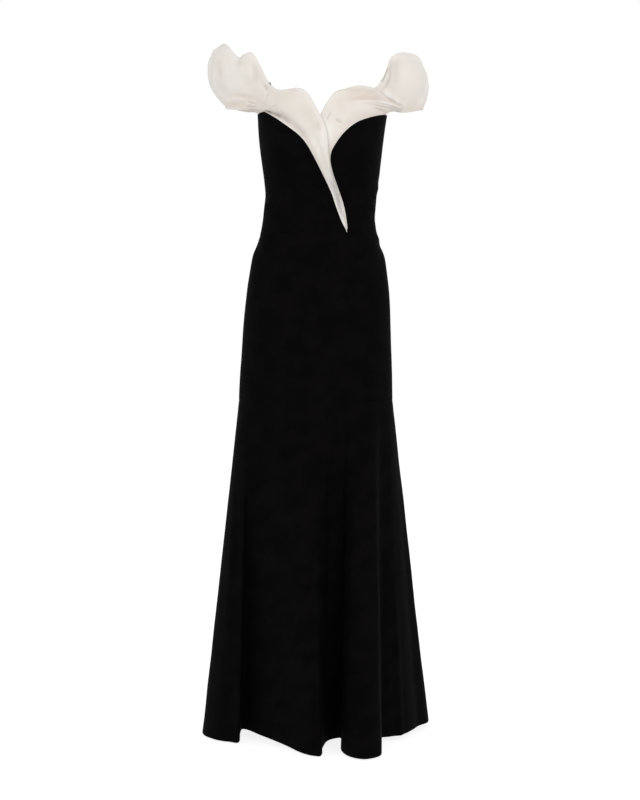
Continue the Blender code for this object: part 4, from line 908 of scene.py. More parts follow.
def cloth_mesh(name, outer, thickness, outward, tones=None):
    """A thin closed wall under a grid of points, with a round rim and a UV map in metres.

    tones holds the grid's values of each named tone, which become attributes of the mesh.
    """
    rows, columns = outer.shape[:2]
    normals = grid_normals(outer, outward)
    inner = outer - normals * np.broadcast_to(thickness, (rows, columns))[..., None]
    border = [(0, column) for column in range(columns)]
    border += [(row, columns - 1) for row in range(1, rows)]
    border += [(rows - 1, column) for column in range(columns - 2, -1, -1)]
    border += [(row, 0) for row in range(rows - 2, 0, -1)]
    at = np.array(border)
    inside = np.clip(at, 1, (rows - 2, columns - 2))
    edge = outer[at[:, 0], at[:, 1]]
    away = unit(edge - outer[inside[:, 0], inside[:, 1]])
    half = (edge - inner[at[:, 0], at[:, 1]]) / 2
    rim = edge - half + away * np.linalg.norm(half, axis=1)[:, None] * RIM_ROUND

    metres = [edge_distance(outer, *edge) for edge in (FIRST_COLUMN, FIRST_ROW)]
    uv = np.stack(metres, axis=-1).reshape(-1, 2)
    rim_index = at[:, 0] * columns + at[:, 1]
    uv = np.concatenate((uv, uv, uv[rim_index]))

    index = np.arange(rows * columns).reshape(rows, columns)
    quads = np.stack((index[:-1, :-1], index[:-1, 1:], index[1:, 1:], index[1:, :-1]), -1).reshape(-1, 4)
    count = rows * columns
    after = np.roll(rim_index, -1)
    rim_here = 2 * count + np.arange(len(border))
    rim_after = np.roll(rim_here, -1)
    sides = [np.stack((rim_index, after, rim_after, rim_here), -1),
             np.stack((rim_here, rim_after, after + count, rim_index + count), -1)]
    faces = np.concatenate([quads[:, ::-1], quads + count, *sides])
    points = np.concatenate((outer.reshape(-1, 3), inner.reshape(-1, 3), rim))

    mesh = bpy.data.meshes.new(name)
    mesh.from_pydata(points.tolist(), [], faces.tolist())
    work = bmesh.new()
    work.from_mesh(mesh)
    bmesh.ops.recalc_face_normals(work, faces=work.faces)
    work.to_mesh(mesh)
    work.free()
    corners = np.zeros(len(mesh.loops), dtype=np.int32)
    mesh.loops.foreach_get("vertex_index", corners)
    layer = mesh.uv_layers.new(name="Cloth")
    layer.uv.foreach_set("vector", uv[corners].astype(np.float32).ravel())
    for layer_name, values in (tones or {}).items():
        values = values.ravel()
        values = np.concatenate((values, values, values[rim_index]))
        layer = mesh.attributes.new(layer_name, "FLOAT", "POINT")
        layer.data.foreach_set("value", values.astype(np.float32))
    mesh.shade_smooth()
    return mesh


def place_piece(name, mesh, material, body="gown", replaces=()):
    """A finished piece: its material, the body it rides on and the CAD nodes it stands for."""
    piece = bpy.data.objects.new(name, mesh)
    bpy.context.scene.collection.objects.link(piece)
    mesh.materials.clear()
    mesh.materials.append(material)
    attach(piece, body)
    if replaces:
        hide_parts(*replaces)
    return piece


def sew_panel(node, points, thickness, outward, material, tones=None):
    """A panel of cloth that stands for its node."""
    mesh = cloth_mesh(f"{node}_cloth", points, thickness, outward, tones)
    piece = place_piece(f"{node}_cloth", mesh, material, replaces=(node,))


def crepe_panel(node, points, relief, outward, wall, seams, context):
    """A crepe panel with its creases, its slight swells and its dipped seams."""
    sizes = context.scene.gown_sizes
    relief = relief + unevenness(points, sizes.crepe_wave, sizes.crepe_swell) + seam_relief(points, seams)
    points = points + grid_normals(points, outward) * relief[..., None]
    sew_panel(node, points, wall, outward, material_for(context, "black_crepe"))


def body_panel(node, surface, seams, context, outward=1.0):
    """A crepe panel on the body."""
    sizes = context.scene.gown_sizes
    points = body_point(*np.broadcast_arrays(*surface(*grid_stations(node))))
    relief = crease_relief(points, body_point, BODY_CREASES, sizes.crease_depth)
    crepe_panel(node, points, relief, outward, sizes.crepe_wall, seams, context)


def flare_panel(node, turns, context):
    """A stretch of the flare, with a turned-up hem inside its foot."""
    sizes = context.scene.gown_sizes
    u, v = grid_stations(node, across=[HEM_LINE.share(turn) for turn in turns])
    hem_top = 1 - sizes.hem_depth / FLARE_DROP
    v = np.sort(np.append(v, (hem_top - HEM_STEP, hem_top)))[:, None]
    u, v = np.broadcast_arrays(u, v)
    points = flare_surface(u, v)
    relief = crease_relief(points, flare_surface, FLARE_CREASES, sizes.crease_depth)
    relief *= ease(edge_distance(points, *FIRST_ROW) / FLARE_STILL)
    wall = sizes.crepe_wall * np.where(v > hem_top - HEM_STEP / 2, HEM_THICKER, 1.0)
    crepe_panel(node, points, relief, -1.0, wall, (FIRST_ROW, FIRST_COLUMN, LAST_COLUMN), context)


# Sewing by Geometry Nodes

def input_names(tree):
    """The identifier of each of a tree's inputs, by its name."""
    return {item.name: item.identifier for item in tree.interface.items_tree
            if item.item_type == "SOCKET" and item.in_out == "INPUT"}


class PathTree:
    """A Geometry Nodes tree that starts from lines of edges and ends in a realized, painted mesh."""

    def __init__(self, name, inputs):
        self.tree = bpy.data.node_groups.new(name, "GeometryNodeTree")
        interface = self.tree.interface
        interface.new_socket("Geometry", in_out="INPUT", socket_type="NodeSocketGeometry")
        for label, kind, default in inputs:
            interface.new_socket(label, in_out="INPUT", socket_type=kind).default_value = default
        interface.new_socket("Material", in_out="INPUT", socket_type="NodeSocketMaterial")
        interface.new_socket("Geometry", in_out="OUTPUT", socket_type="NodeSocketGeometry")
        self.inputs = self.tree.nodes.new("NodeGroupInput")
        self.curve = self.node("GeometryNodeMeshToCurve", Mesh=self.inputs.outputs["Geometry"])

    def node(self, kind, settings=None, **links):
        """A node with its settings, and values or links for its sockets."""
        made = self.tree.nodes.new(kind)
        for key, value in (settings or {}).items():
            setattr(made, key, value)
        for key, value in links.items():
            socket = made.inputs[key.replace("_", " ")]
            if isinstance(value, bpy.types.NodeSocket):
                self.tree.links.new(value, socket)
            elif isinstance(value, bpy.types.Node):
                self.tree.links.new(value.outputs[0], socket)
            else:
                socket.default_value = value
        return made

    def value(self, label):
        """One of the tree's own inputs."""
        return self.inputs.outputs[label]

    def instances(self, shape, turned, size):
        """A shape at every pitch along the lines."""
        dots = self.node("GeometryNodeResampleCurve", {"mode": "LENGTH"}, Curve=self.curve,
                         Length=self.value("Pitch"))
        return self.node("GeometryNodeInstanceOnPoints", Points=dots, Instance=shape, Rotation=turned,
                         Scale=size)

    def upright(self):
        """A turn that lays a shape's own Z along the line."""
        tangent = self.node("GeometryNodeInputTangent")
        return self.node("FunctionNodeAlignRotationToVector", {"axis": "Z"}, Vector=tangent)

    def finish(self, made):
        """Realizes the instances, sets the material and closes the tree."""
        real = self.node("GeometryNodeRealizeInstances", Geometry=made)
        painted = self.node("GeometryNodeSetMaterial", Geometry=real, Material=self.value("Material"))
        self.node("NodeGroupOutput", Geometry=painted)
        return self.tree


def stitch_tree():
    """Small round-ended stitches, end to end along the lines."""
    build = PathTree("gown_stitches", [
        ("Pitch", "NodeSocketFloat", 0.003), ("Length", "NodeSocketFloat", 0.0022),
        ("Thread", "NodeSocketFloat", 0.0003)])
    grain = build.node("GeometryNodeMeshUVSphere", Segments=6, Rings=4, Radius=0.5)
    size = build.node("ShaderNodeCombineXYZ", X=build.value("Thread"), Y=build.value("Thread"),
                      Z=build.value("Length"))
    return build.finish(build.instances(grain, build.upright(), size))


def tooth_tree():
    """Zip teeth across the lines, their backs turned to the way given."""
    build = PathTree("gown_zip_teeth", [
        ("Pitch", "NodeSocketFloat", 0.0014), ("Size", "NodeSocketVector", (0.0018, 0.0010, 0.0009)),
        ("Facing", "NodeSocketVector", (0.0, -1.0, 0.0))])
    tooth = build.node("GeometryNodeMeshUVSphere", Segments=8, Rings=5, Radius=0.5)
    turned = build.node("FunctionNodeAlignRotationToVector", {"axis": "Y", "pivot_axis": "Z"},
                        Rotation=build.upright(), Vector=build.value("Facing"))
    return build.finish(build.instances(tooth, turned, build.value("Size")))


def rolled_tree():
    """A rolled hem: a thin round roll of the cloth along its free edge."""
    build = PathTree("gown_rolled_hem", [("Radius", "NodeSocketFloat", 0.0007)])
    ring = build.node("GeometryNodeCurvePrimitiveCircle", Resolution=8, Radius=build.value("Radius"))
    roll = build.node("GeometryNodeCurveToMesh", Curve=build.curve, Profile_Curve=ring, Fill_Caps=True)
    smooth = build.node("GeometryNodeSetShadeSmooth", Geometry=roll)
    return build.finish(smooth)


def along_lines(name, tree, lines, material, values):
    """A piece made by a tree along lines of points, as one plain mesh."""
    points, edges = [], []
    for line in lines:
        start = len(points)
        points += [tuple(point) for point in line]
        edges += [(start + step, start + step + 1) for step in range(len(line) - 1)]
    guide_mesh = bpy.data.meshes.new(f"{name}_guide")
    guide_mesh.from_pydata(points, edges, [])
    guide = bpy.data.objects.new(f"{name}_guide", guide_mesh)
    bpy.context.scene.collection.objects.link(guide)
    change = guide.modifiers.new("sewing", "NODES")
    change.node_group = tree
    names = input_names(tree)
    change[names["Material"]] = material
    for label, value in values.items():
        change[names[label]] = value
    bpy.context.view_layer.update()
    evaluated = guide.evaluated_get(bpy.context.evaluated_depsgraph_get())
    mesh = bpy.data.meshes.new_from_object(evaluated)
    mesh.name = name
    guide.modifiers.remove(change)
    bpy.data.objects.remove(guide)
    bpy.data.meshes.remove(guide_mesh)
    place_piece(name, mesh, material)


def sew_stitches(name, lines, thread, context, pitch=1.0, length=0.7):
    """Stitches along lines. Their pitch and length are shares of the stitch pitch."""
    sizes = context.scene.gown_sizes
    along_lines(name, stitch_tree(), lines, material_for(context, thread),
                {"Pitch": sizes.stitch_pitch * pitch, "Length": sizes.stitch_pitch * length,
                 "Thread": sizes.thread})


# Materials

class Wire:
    """A socket of a material's tree. Operators on it add Math nodes."""

    def __init__(self, paint, socket):
        self.paint, self.socket = paint, socket

    def math(self, operation, *others):
        """A Math node on this socket and the others."""
        return self.paint.node("ShaderNodeMath", {"operation": operation}, dict(enumerate((self, *others))))

    def __add__(self, other):
        return self.math("ADD", other)

    def __mul__(self, other):
        return self.math("MULTIPLY", other)

    def __rsub__(self, other):
        return (self * -1.0) + other

    def sine(self):
        """The sine of this value."""
        return self.math("SINE")

    def span(self, low, high):
        """A value that goes from low to high as this one goes from 0 to 1."""
        return self * (high - low) + low

    def between(self, low, high):
        """0 below low and 1 above high, with a soft rise."""
        return self.paint.node("ShaderNodeMapRange", {"interpolation_type": "SMOOTHSTEP"},
                               {"Value": self, "From Min": low, "From Max": high})


class Paint:
    """A material with one Principled shader, whose nodes are added by one method."""

    def __init__(self, name, **constants):
        self.material = bpy.data.materials.new(name)
        self.material.use_nodes = True
        self.tree = self.material.node_tree
        self.shader = self.tree.nodes["Principled BSDF"]
        for key, value in constants.items():
            self.shader.inputs[key.replace("_", " ")].default_value = value

    def node(self, kind, settings=None, sockets=None, output=0):
        """A node with its settings, and values or links for its sockets. Gives one of its outputs."""
        made = self.tree.nodes.new(kind)
        for key, value in (settings or {}).items():
            setattr(made, key, value)
        for key, value in (sockets or {}).items():
            if isinstance(value, Wire):
                self.tree.links.new(value.socket, made.inputs[key])
            else:
                made.inputs[key].default_value = value
        return Wire(self, made.outputs[output])

    def parts(self, vector, *wanted):
        """Some of the three numbers of a vector."""
        return [self.node("ShaderNodeSeparateXYZ", sockets={"Vector": vector}, output=part)
                for part in wanted]

    def cloth_place(self):
        """Metres across and up the cloth, and both as one vector."""
        vector = self.node("ShaderNodeUVMap", {"uv_map": "Cloth"})
        return *self.parts(vector, 0, 1), vector

    def own_place(self):
        """The piece's own object coordinates."""
        return self.node("ShaderNodeTexCoord", output=3)

    def attribute(self, name):
        """A number that the piece's own mesh holds at each point."""
        return self.node("ShaderNodeAttribute", {"attribute_name": name}, output=2)

    def noise(self, vector, scale, detail=2.0):
        """Soft noise with scale cells to a metre."""
        return self.node("ShaderNodeTexNoise", sockets={"Vector": vector, "Scale": scale, "Detail": detail})

    def mix(self, factor, first, second):
        """A colour between two others."""
        made = self.node("ShaderNodeMix", {"data_type": "RGBA"}, {0: factor}, output=2)
        for key, value in ((6, first), (7, second)):
            socket = made.socket.node.inputs[key]
            if isinstance(value, Wire):
                self.tree.links.new(value.socket, socket)
            else:
                socket.default_value = (*value, 1.0)
        return made

    def dye(self, factor, colour, low, high):
        """A colour that goes from low to high times its own brightness."""
        return self.mix(factor, [part * low for part in colour], [part * high for part in colour])

    def fleck(self, vector, scale, colour, shades, roughness):
        """A fine fleck in the colour and the roughness. Gives the fleck's noise."""
        fleck = self.noise(vector, scale)
        self.feed(Base_Color=self.dye(fleck, colour, *shades), Roughness=fleck.span(*roughness))
        return fleck

    def feed(self, **links):
        """Links sockets of the shader by name."""
        for key, value in links.items():
            self.tree.links.new(value.socket, self.shader.inputs[key.replace("_", " ")])

    def bump(self, height, distance, strength=1.0):
        """Raises the surface by up to distance metres."""
        self.feed(Normal=self.node("ShaderNodeBump", sockets={
            "Height": height, "Distance": distance, "Strength": strength}))


def crepe_material(name, colours):
    """Matt black crepe: a pebbled grain of twisted yarns, a little uneven in its dye."""
    paint = Paint(name, Specular_IOR_Level=0.02)
    across, up, vector = paint.cloth_place()
    pebble = paint.noise(vector, scale=1100.0, detail=3.0)
    weft = (across * CREPE_WEFT + pebble * WEFT_SHIFT).sine()
    warp = (up * CREPE_WARP + pebble * WARP_SHIFT).sine()
    cloud = paint.noise(vector, scale=22.0)
    paint.feed(Base_Color=paint.dye(cloud.between(0.35, 0.65), colours.crepe, low=0.8, high=1.2),
               Roughness=pebble.span(0.78, 0.92))
    paint.bump(pebble + weft * warp * YARN_SHARE, distance=0.00025, strength=0.7)
    return paint.material


def organza_material(name, colours):
    """Stiffened ivory organza: fine square threads, slightly sheer, warmer and darker where it lies double
    and, as painted shade, in its shaded folds, with painted shade where the black behind shows through and
    painted light by its rims.
    """
    paint = Paint(name, Specular_IOR_Level=0.20)
    across, up, vector = paint.cloth_place()
    warm = paint.attribute("Warm")
    cloud = paint.noise(vector, scale=16.0)
    mottle = paint.noise(vector, scale=42.0)
    veil = paint.attribute("Veil") * mottle.span(0.65, 1.35)
    threads = (across * ORGANZA_THREADS).sine() * (up * ORGANZA_THREADS).sine()
    # Painted light and shade: thin marks painted light (tones below 0), which is mixed in as the bright rim
    # colour and also lowers the alpha; the warm fold colour and the dark veil colour are painted shade,
    # partly for doubled cloth and for the black behind
    thin = veil * -1.0
    lie = warm * mottle.span(0.75, 1.25) + cloud.span(-0.1, 0.1)
    tone = paint.mix(lie, colours.organza, colours.organza_fold_shade)
    tone = paint.mix(warm * -1.0, tone, colours.organza_cool)
    tone = paint.mix(thin, tone, colours.organza_painted_light)
    tone = paint.mix(veil, tone, colours.organza_veil_and_shade)
    paint.feed(Base_Color=tone, Roughness=cloud.span(0.52, 0.62),
               Alpha=ORGANZA_ALPHA - (thin.between(0.0, 1.0) * THIN_ALPHA + threads * THREAD_ALPHA))
    paint.bump(threads + cloud * 0.3, distance=0.00006, strength=0.5)
    return paint.material


def ribbon_material(name, colours):
    """Black grosgrain: fine ribs across a narrow ribbon."""
    paint = Paint(name, Specular_IOR_Level=0.25, Sheen_Weight=0.05)
    _, up, vector = paint.cloth_place()
    rib = (up * RIBBON_RIBS).sine()
    fleck = paint.fleck(vector, 700.0, colours.ribbon, shades=(0.7, 1.5), roughness=(0.45, 0.65))
    paint.bump(rib + fleck * 0.4, distance=0.00012)
    return paint.material


def tape_material(name, colours):
    """The zip's knitted tape, on object coordinates: slanting rows that meet in a herringbone."""
    paint = Paint(name, Specular_IOR_Level=0.2)
    vector = paint.own_place()
    x, z = paint.parts(vector, 0, 2)
    row = ((x * TAPE_COLUMNS).sine() * 0.8 + z * TAPE_ROWS).sine()
    paint.fleck(vector, 900.0, colours.ribbon, shades=(0.8, 1.8), roughness=(0.6, 0.75))
    paint.bump(row, distance=0.00015)
    return paint.material


def enamel_material(name, colours):
    """Black enamel on the slider and its tab, rubbed a little in scattered patches."""
    paint = Paint(name, Metallic=0.4, Coat_Weight=0.4, Coat_Roughness=0.2)
    rub = paint.noise(paint.own_place(), scale=420.0, detail=4.0)
    worn = rub.between(0.52, 0.72)
    paint.feed(Base_Color=paint.dye(worn, colours.enamel, low=1.0, high=3.0),
               Roughness=worn.span(0.25, 0.5))
    paint.bump(rub, distance=0.00004, strength=0.5)
    return paint.material


def thread_material(name, colours):
    """Twisted sewing thread, of the ribbon's colour or the organza's."""
    paint = Paint(name, Specular_IOR_Level=0.3, Sheen_Weight=0.1)
    colour = colours.organza if name == "ivory_thread" else colours.ribbon
    paint.fleck(paint.own_place(), 1600.0, colour, shades=(0.75, 1.15), roughness=(0.5, 0.7))
    return paint.material


def nylon_material(name, colours):
    """Smooth black nylon of the zip's teeth."""
    paint = Paint(name, Specular_IOR_Level=0.4)
    paint.fleck(paint.own_place(), 900.0, colours.ribbon, shades=(0.9, 1.6), roughness=(0.3, 0.45))
    return paint.material


MATERIALS = {"black_crepe": crepe_material, "ivory_organza": organza_material,
             "black_ribbon": ribbon_material, "zip_tape_knit": tape_material,
             "black_enamel": enamel_material, "black_nylon": nylon_material,
             "black_thread": thread_material, "ivory_thread": thread_material}


def material_for(context, name):
    """Each material is made once, when a piece first needs it."""
    return bpy.data.materials.get(name) or MATERIALS[name](name, context.scene.gown_colours)


# What a user may change

def length(name, description, default, low, high):
    """A length in metres."""
    return FloatProperty(name=name, description=description, default=default, min=low, max=high,
                         subtype="DISTANCE", unit="LENGTH", precision=5)


def colour(name, description, default):
    """A linear colour."""
    return FloatVectorProperty(name=name, description=description, default=default, size=3, min=0.0,
                               max=1.0, subtype="COLOR")


class GownSizes(bpy.types.PropertyGroup):
    """Sizes of the cloth, its creases and its sewing"""

    crepe_wall: length("Crepe", "Thickness of the crepe with its lining", 0.0013, 0.0005, 0.002)
    organza_wall: length("Organza", "Thickness of the doubled organza", 0.0007, 0.0003, 0.0012)
    hem_depth: length("Hem depth", "Height of the hem turned up inside the flare", 0.030, 0.005, 0.06)
    crepe_wave: length("Crepe wave", "Size of the crepe's slight swells", 0.050, 0.01, 0.2)
    crepe_swell: length("Crepe swell", "Height of the crepe's slight swells", 0.0006, 0.0, 0.003)
    organza_wave: length("Organza wave", "Size of the organza's slight swells", 0.022, 0.01, 0.2)
    organza_swell: length("Organza swell", "Height of the organza's slight swells", 0.0008, 0.0, 0.003)
    rolled_hem: length("Rolled hem", "Radius of the organza's rolled hem", 0.0007, 0.0003, 0.002)
    stitch_pitch: length("Stitch pitch", "Distance from stitch to stitch", 0.0030, 0.001, 0.01)
    thread: length("Thread", "Thickness of the sewing thread", 0.00035, 0.0001, 0.001)
    tooth_pitch: length("Tooth pitch", "Distance from zip tooth to zip tooth", 0.0014, 0.001, 0.004)
    crease_depth: FloatProperty(name="Crease depth", description="Scale of every crease's depth",
                                default=1.0, min=0.0, max=2.0, subtype="FACTOR")


class GownColours(bpy.types.PropertyGroup):
    """Colours of the cloth and the zip"""

    crepe: colour("Crepe", "The black crepe", (0.0019, 0.0016, 0.0017))
    organza: colour("Organza", "The ivory organza", (0.650, 0.613, 0.568))
    # Partly painted shade: darker and warmer, for cloth lying double and for folds in shade
    organza_fold_shade: colour("Organza folds", "The organza where it lies double", (0.612, 0.508, 0.432))
    organza_cool: colour("Organza cool", "The organza where it is greyest", (0.600, 0.590, 0.585))
    # Painted light: the bright colour mixed in by the rims and in lightened hollows
    organza_painted_light: colour("Organza rim", "The organza where light shows through it", (0.860, 0.850, 0.830))
    # Painted shade: the dark colour mixed in where the organza is in shade and where the black behind shows
    # through
    organza_veil_and_shade: colour("Organza veil", "The organza over the black", (0.074, 0.067, 0.060))
    ribbon: colour("Ribbon", "The straps and the zip's tapes", SLOT_COLOURS["ribbon"])
    enamel: colour("Enamel", "The zip's slider and pull tab", SLOT_COLOURS["enamel"])


# Operators

class GownOperator:
    """What the gown's operators share."""

    bl_options = {"REGISTER", "UNDO"}


class GOWN_OT_stage(GownOperator, bpy.types.Operator):
    """Sets the camera, the soft studio light and a plain pale floor under the hem"""

    bl_idname = "gown.stage"
    bl_label = "Stage"

    def execute(self, context):
        set_camera()
        set_light()
        set_floor()
        return {"FINISHED"}


class GOWN_OT_bodice(GownOperator, bpy.types.Operator):
    """Sews the bodice's two fronts and two backs"""

    bl_idname = "gown.bodice"
    bl_label = "Bodice"

    def execute(self, context):
        for side in SIDES:
            body_panel(f"bodice_front_{side}", bodice_front_surface(side), (FIRST_ROW, FIRST_COLUMN),
                       context, OUTWARD[side])
        for side, turns in BACK_TURNS.items():
            body_panel(f"bodice_back_{side}", bodice_back_surface(turns),
                       (FIRST_ROW, FIRST_COLUMN, LAST_COLUMN), context)
        return {"FINISHED"}


class GOWN_OT_skirt(GownOperator, bpy.types.Operator):
    """Sews the skirt's front and two backs, from the waist seam to the trumpet seam"""

    bl_idname = "gown.skirt"
    bl_label = "Skirt"

    def execute(self, context):
        seams = (FIRST_ROW, LAST_ROW, FIRST_COLUMN, LAST_COLUMN)
        body_panel("skirt_front", skirt_surface(FRONT_TURNS), seams, context)
        for side, turns in BACK_TURNS.items():
            body_panel(f"skirt_back_{side}", skirt_surface(turns), seams, context)
        return {"FINISHED"}


class GOWN_OT_flare(GownOperator, bpy.types.Operator):
    """Sews the trumpet flare's front and two backs, with the hem turned up inside"""

    bl_idname = "gown.flare"
    bl_label = "Flare"

    def execute(self, context):
        flare_panel("flare_front", FRONT_TURNS, context)
        for side, turns in BACK_TURNS.items():
            flare_panel(f"flare_back_{side}", turns, context)
        return {"FINISHED"}


Marks = namedtuple("Marks", "form creases tones")


def collar_marks(side):
    """The marks on a side's petal, and those on its flounce, each with its own form's first.

    Where the two are sewn flush, each also takes the other's creases and tones, so that none stops at the
    join.
    """
    rows = COLLAR[side]
    form = PetalForm(side, rows.petal, rows.taper)
    petal = Marks(form, *rows.petal_strokes)
    flounce = Marks(FlounceForm(side, rows.flounce, form, rows.flush), *rows.flounce_strokes)
    return ((petal, flounce), (flounce, petal)) if rows.flush else ((petal,), (flounce,))


def organza_surface(u, v, marks, outward, sizes):
    """The first form's points with the creases of every form in marks, and its two tones, which carry painted
    shade and light.
    """
    points = marks[0].form.point(u, v)
    normals = grid_normals(points, outward)
    relief = unevenness(points, sizes.organza_wave, sizes.organza_swell)
    across, _ = np.broadcast_arrays(u, v)
    # Painted shade by the arm, warmer and darker, partly for the doubled cloth; painted light by the rim
    warm = LOW_WARMTH * (1 - ease(across / LOW_REACH))
    veil = -RIM_LIGHT * ease(1 - (1 - across) / RIM_REACH)
    for mark in marks:
        relief += crease_relief(points, mark.form.point, mark.creases, sizes.crease_depth)
        more_warm, more_veil_and_painted_light = tone_maps(points, mark.form.point, mark.tones)
        warm, veil = warm + more_warm, veil + more_veil_and_painted_light
    still = ease(edge_distance(points, *FIRST_COLUMN) / SEWN_STILL)
    return points + normals * (relief * still)[..., None], {"Warm": warm, "Veil": veil}


def organza_panel(node, marks, side, context, along=(0.0, 1.0)):
    """A petal or flounce. Gives its outer points."""
    sizes = context.scene.gown_sizes
    points, tones = organza_surface(*grid_stations(node, along=along), marks, OUTWARD[side], sizes)
    sew_panel(node, points, sizes.organza_wall, OUTWARD[side], material_for(context, "ivory_organza"),
              tones)
    return points


def roll_hems(name, lines, context):
    """Rolled hems of the organza along lines."""
    along_lines(name, rolled_tree(), lines, material_for(context, "ivory_organza"),
                {"Radius": context.scene.gown_sizes.rolled_hem})


class GOWN_OT_petals(GownOperator, bpy.types.Operator):
    """Sews the two crossed organza petals, with rolled hems on both of their edges"""

    bl_idname = "gown.petals"
    bl_label = "Petals"

    def execute(self, context):
        rolls = []
        for side in SIDES:
            marks, _ = collar_marks(side)
            points = organza_panel(f"collar_petal_{side}", marks, side, context, PETAL_SPAN[side])
            rolls += [points[2:, -1], points[2:, 0]]
        roll_hems("petal_rolled_hems", rolls, context)
        return {"FINISHED"}


class GOWN_OT_flounces(GownOperator, bpy.types.Operator):
    """Sews the two standing shoulder flounces, with rolled hems on both of their edges"""

    bl_idname = "gown.flounces"
    bl_label = "Flounces"

    def execute(self, context):
        rolls = []
        for side in SIDES:
            _, marks = collar_marks(side)
            points = organza_panel(f"shoulder_flounce_{side}", marks, side, context)
            rolls += [points[1:-1, -1], points[1:-1, 0]]
        roll_hems("flounce_rolled_hems", rolls, context)
        return {"FINISHED"}


def strap_points(side):
    """The middle line of a strap and the way that its face looks, as two arrays."""
    crests, (front, back) = STRAPS[side]

    def tucked(end, rise):
        depth = CREPE_SOLID + end.clearance + STRAP_SOLID / 2
        return inner_line(end.turn, np.array(end.level + rise), depth)
    points = [tucked(front, rise) for rise in (-STRAP_TUCK, 0.0, STRAP_TUCK)]
    points += [np.array(crest) for crest in crests]
    points += [tucked(back, rise) for rise in (STRAP_TUCK, 0.0, -STRAP_TUCK)]
    lean = np.array((math.copysign(STRAP_LEAN[0], crests[0].x), *STRAP_LEAN[1:]))
    facing = [body_normal(front.turn, front.level)] * 3 + [lean] * len(crests)
    facing += [body_normal(back.turn, back.level)] * 3
    curve = curve_through(points)
    facing_at = curve_through([(float(index), *way) for index, way in enumerate(facing)])
    share = np.linspace(0.0, 1.0, STRAP_ROWS)
    return curve(share), facing_at(share)[:, 1:]


class GOWN_OT_straps(GownOperator, bpy.types.Operator):
    """Makes the two narrow ribbon straps and the stitches that hold their ends"""

    bl_idname = "gown.straps"
    bl_label = "Straps"

    def execute(self, context):
        wall = STRAP_SOLID * RIBBON_SHARE
        columns = np.array(STRAP_COLUMNS) * STRAP_WIDTH / 2
        stitches = []
        for side in SIDES:
            line, facing = strap_points(side)
            ahead = unit(np.gradient(line, axis=0))
            across = unit(np.cross(ahead, facing))
            out = np.cross(across, ahead)
            points = (line + out * wall / 2)[:, None] + across[:, None] * columns[None, :, None]
            mesh = cloth_mesh(f"strap_{side}_ribbon", points, wall, 1.0)
            place_piece(f"strap_{side}_ribbon", mesh, material_for(context, "black_ribbon"),
                        replaces=(f"strap_{side}",))
            under = line - out * STRAP_SOLID * STRAP_STITCH_SHARE
            for start in STRAP_SEWN_FROM:
                rows = slice(start, start + STRAP_SEWN_ROWS)
                stitches += [under[rows] + across[rows] * seam * STRAP_WIDTH / 2 for seam in STRAP_SEAMS]
        sew_stitches("strap_stitches", stitches, "black_thread", context, pitch=0.7, length=0.55)
        return {"FINISHED"}


def inner_line(turn, levels, depth):
    """Points on the body's inside, depth metres in from the crepe's outer face."""
    turn = np.broadcast_to(turn, levels.shape)
    return body_point(turn, levels) - body_normal(turn, levels) * depth


def softened(node, bevel):
    """A copy of a CAD node's mesh with its corners rounded."""
    work = bmesh.new()
    work.from_mesh(frame["nodes"][node].data)
    bmesh.ops.remove_doubles(work, verts=work.verts, dist=MERGE_REACH)
    bmesh.ops.dissolve_limit(work, angle_limit=FLAT_ANGLE, verts=work.verts, edges=work.edges)
    sharp = [edge for edge in work.edges if edge.is_manifold and edge.calc_face_angle() > SHARP_ANGLE]
    bmesh.ops.bevel(work, geom=sharp, offset=bevel, segments=2, affect="EDGES", clamp_overlap=True)
    bmesh.ops.recalc_face_normals(work, faces=work.faces)
    bmesh.ops.triangulate(work, faces=work.faces)
    mesh = bpy.data.meshes.new(f"{node}_soft")
    work.to_mesh(mesh)
    work.free()
    mesh.shade_smooth()
    mesh.set_sharp_from_angle(angle=SHARP_ANGLE)
    return mesh


class GOWN_OT_zip(GownOperator, bpy.types.Operator):
    """Makes the concealed zip: knitted tapes, teeth, slider and pull tab"""

    bl_idname = "gown.zip"
    bl_label = "Zip"

    def execute(self, context):
        for side in SIDES:
            for slot in frame["nodes"][f"zip_tape_{side}"].material_slots:
                slot.material = material_for(context, "zip_tape_knit")
        levels = np.linspace(ZIP_BOTTOM, ZIP_TOP, ZIP_ROWS)
        coils = [inner_line(turn, levels, TOOTH_DEPTH) for turn in TOOTH_TURNS]
        along_lines("zip_teeth", tooth_tree(), coils, material_for(context, "black_nylon"),
                    {"Pitch": context.scene.gown_sizes.tooth_pitch})
        seams = [inner_line(turn, levels[2:-2], TAPE_SEAM_DEPTH) for turn in TAPE_SEAM_TURNS]
        sew_stitches("zip_tape_stitches", seams, "black_thread", context, length=0.75)
        enamel = material_for(context, "black_enamel")
        place_piece("zip_slider_body", softened("zip_slider", SLIDER_BEVEL), enamel,
                    replaces=("zip_slider",))
        place_piece("zip_pull_tab", softened("zip_pull", TAB_BEVEL), enamel, body="pull_tab",
                    replaces=("zip_pull",))
        return {"FINISHED"}


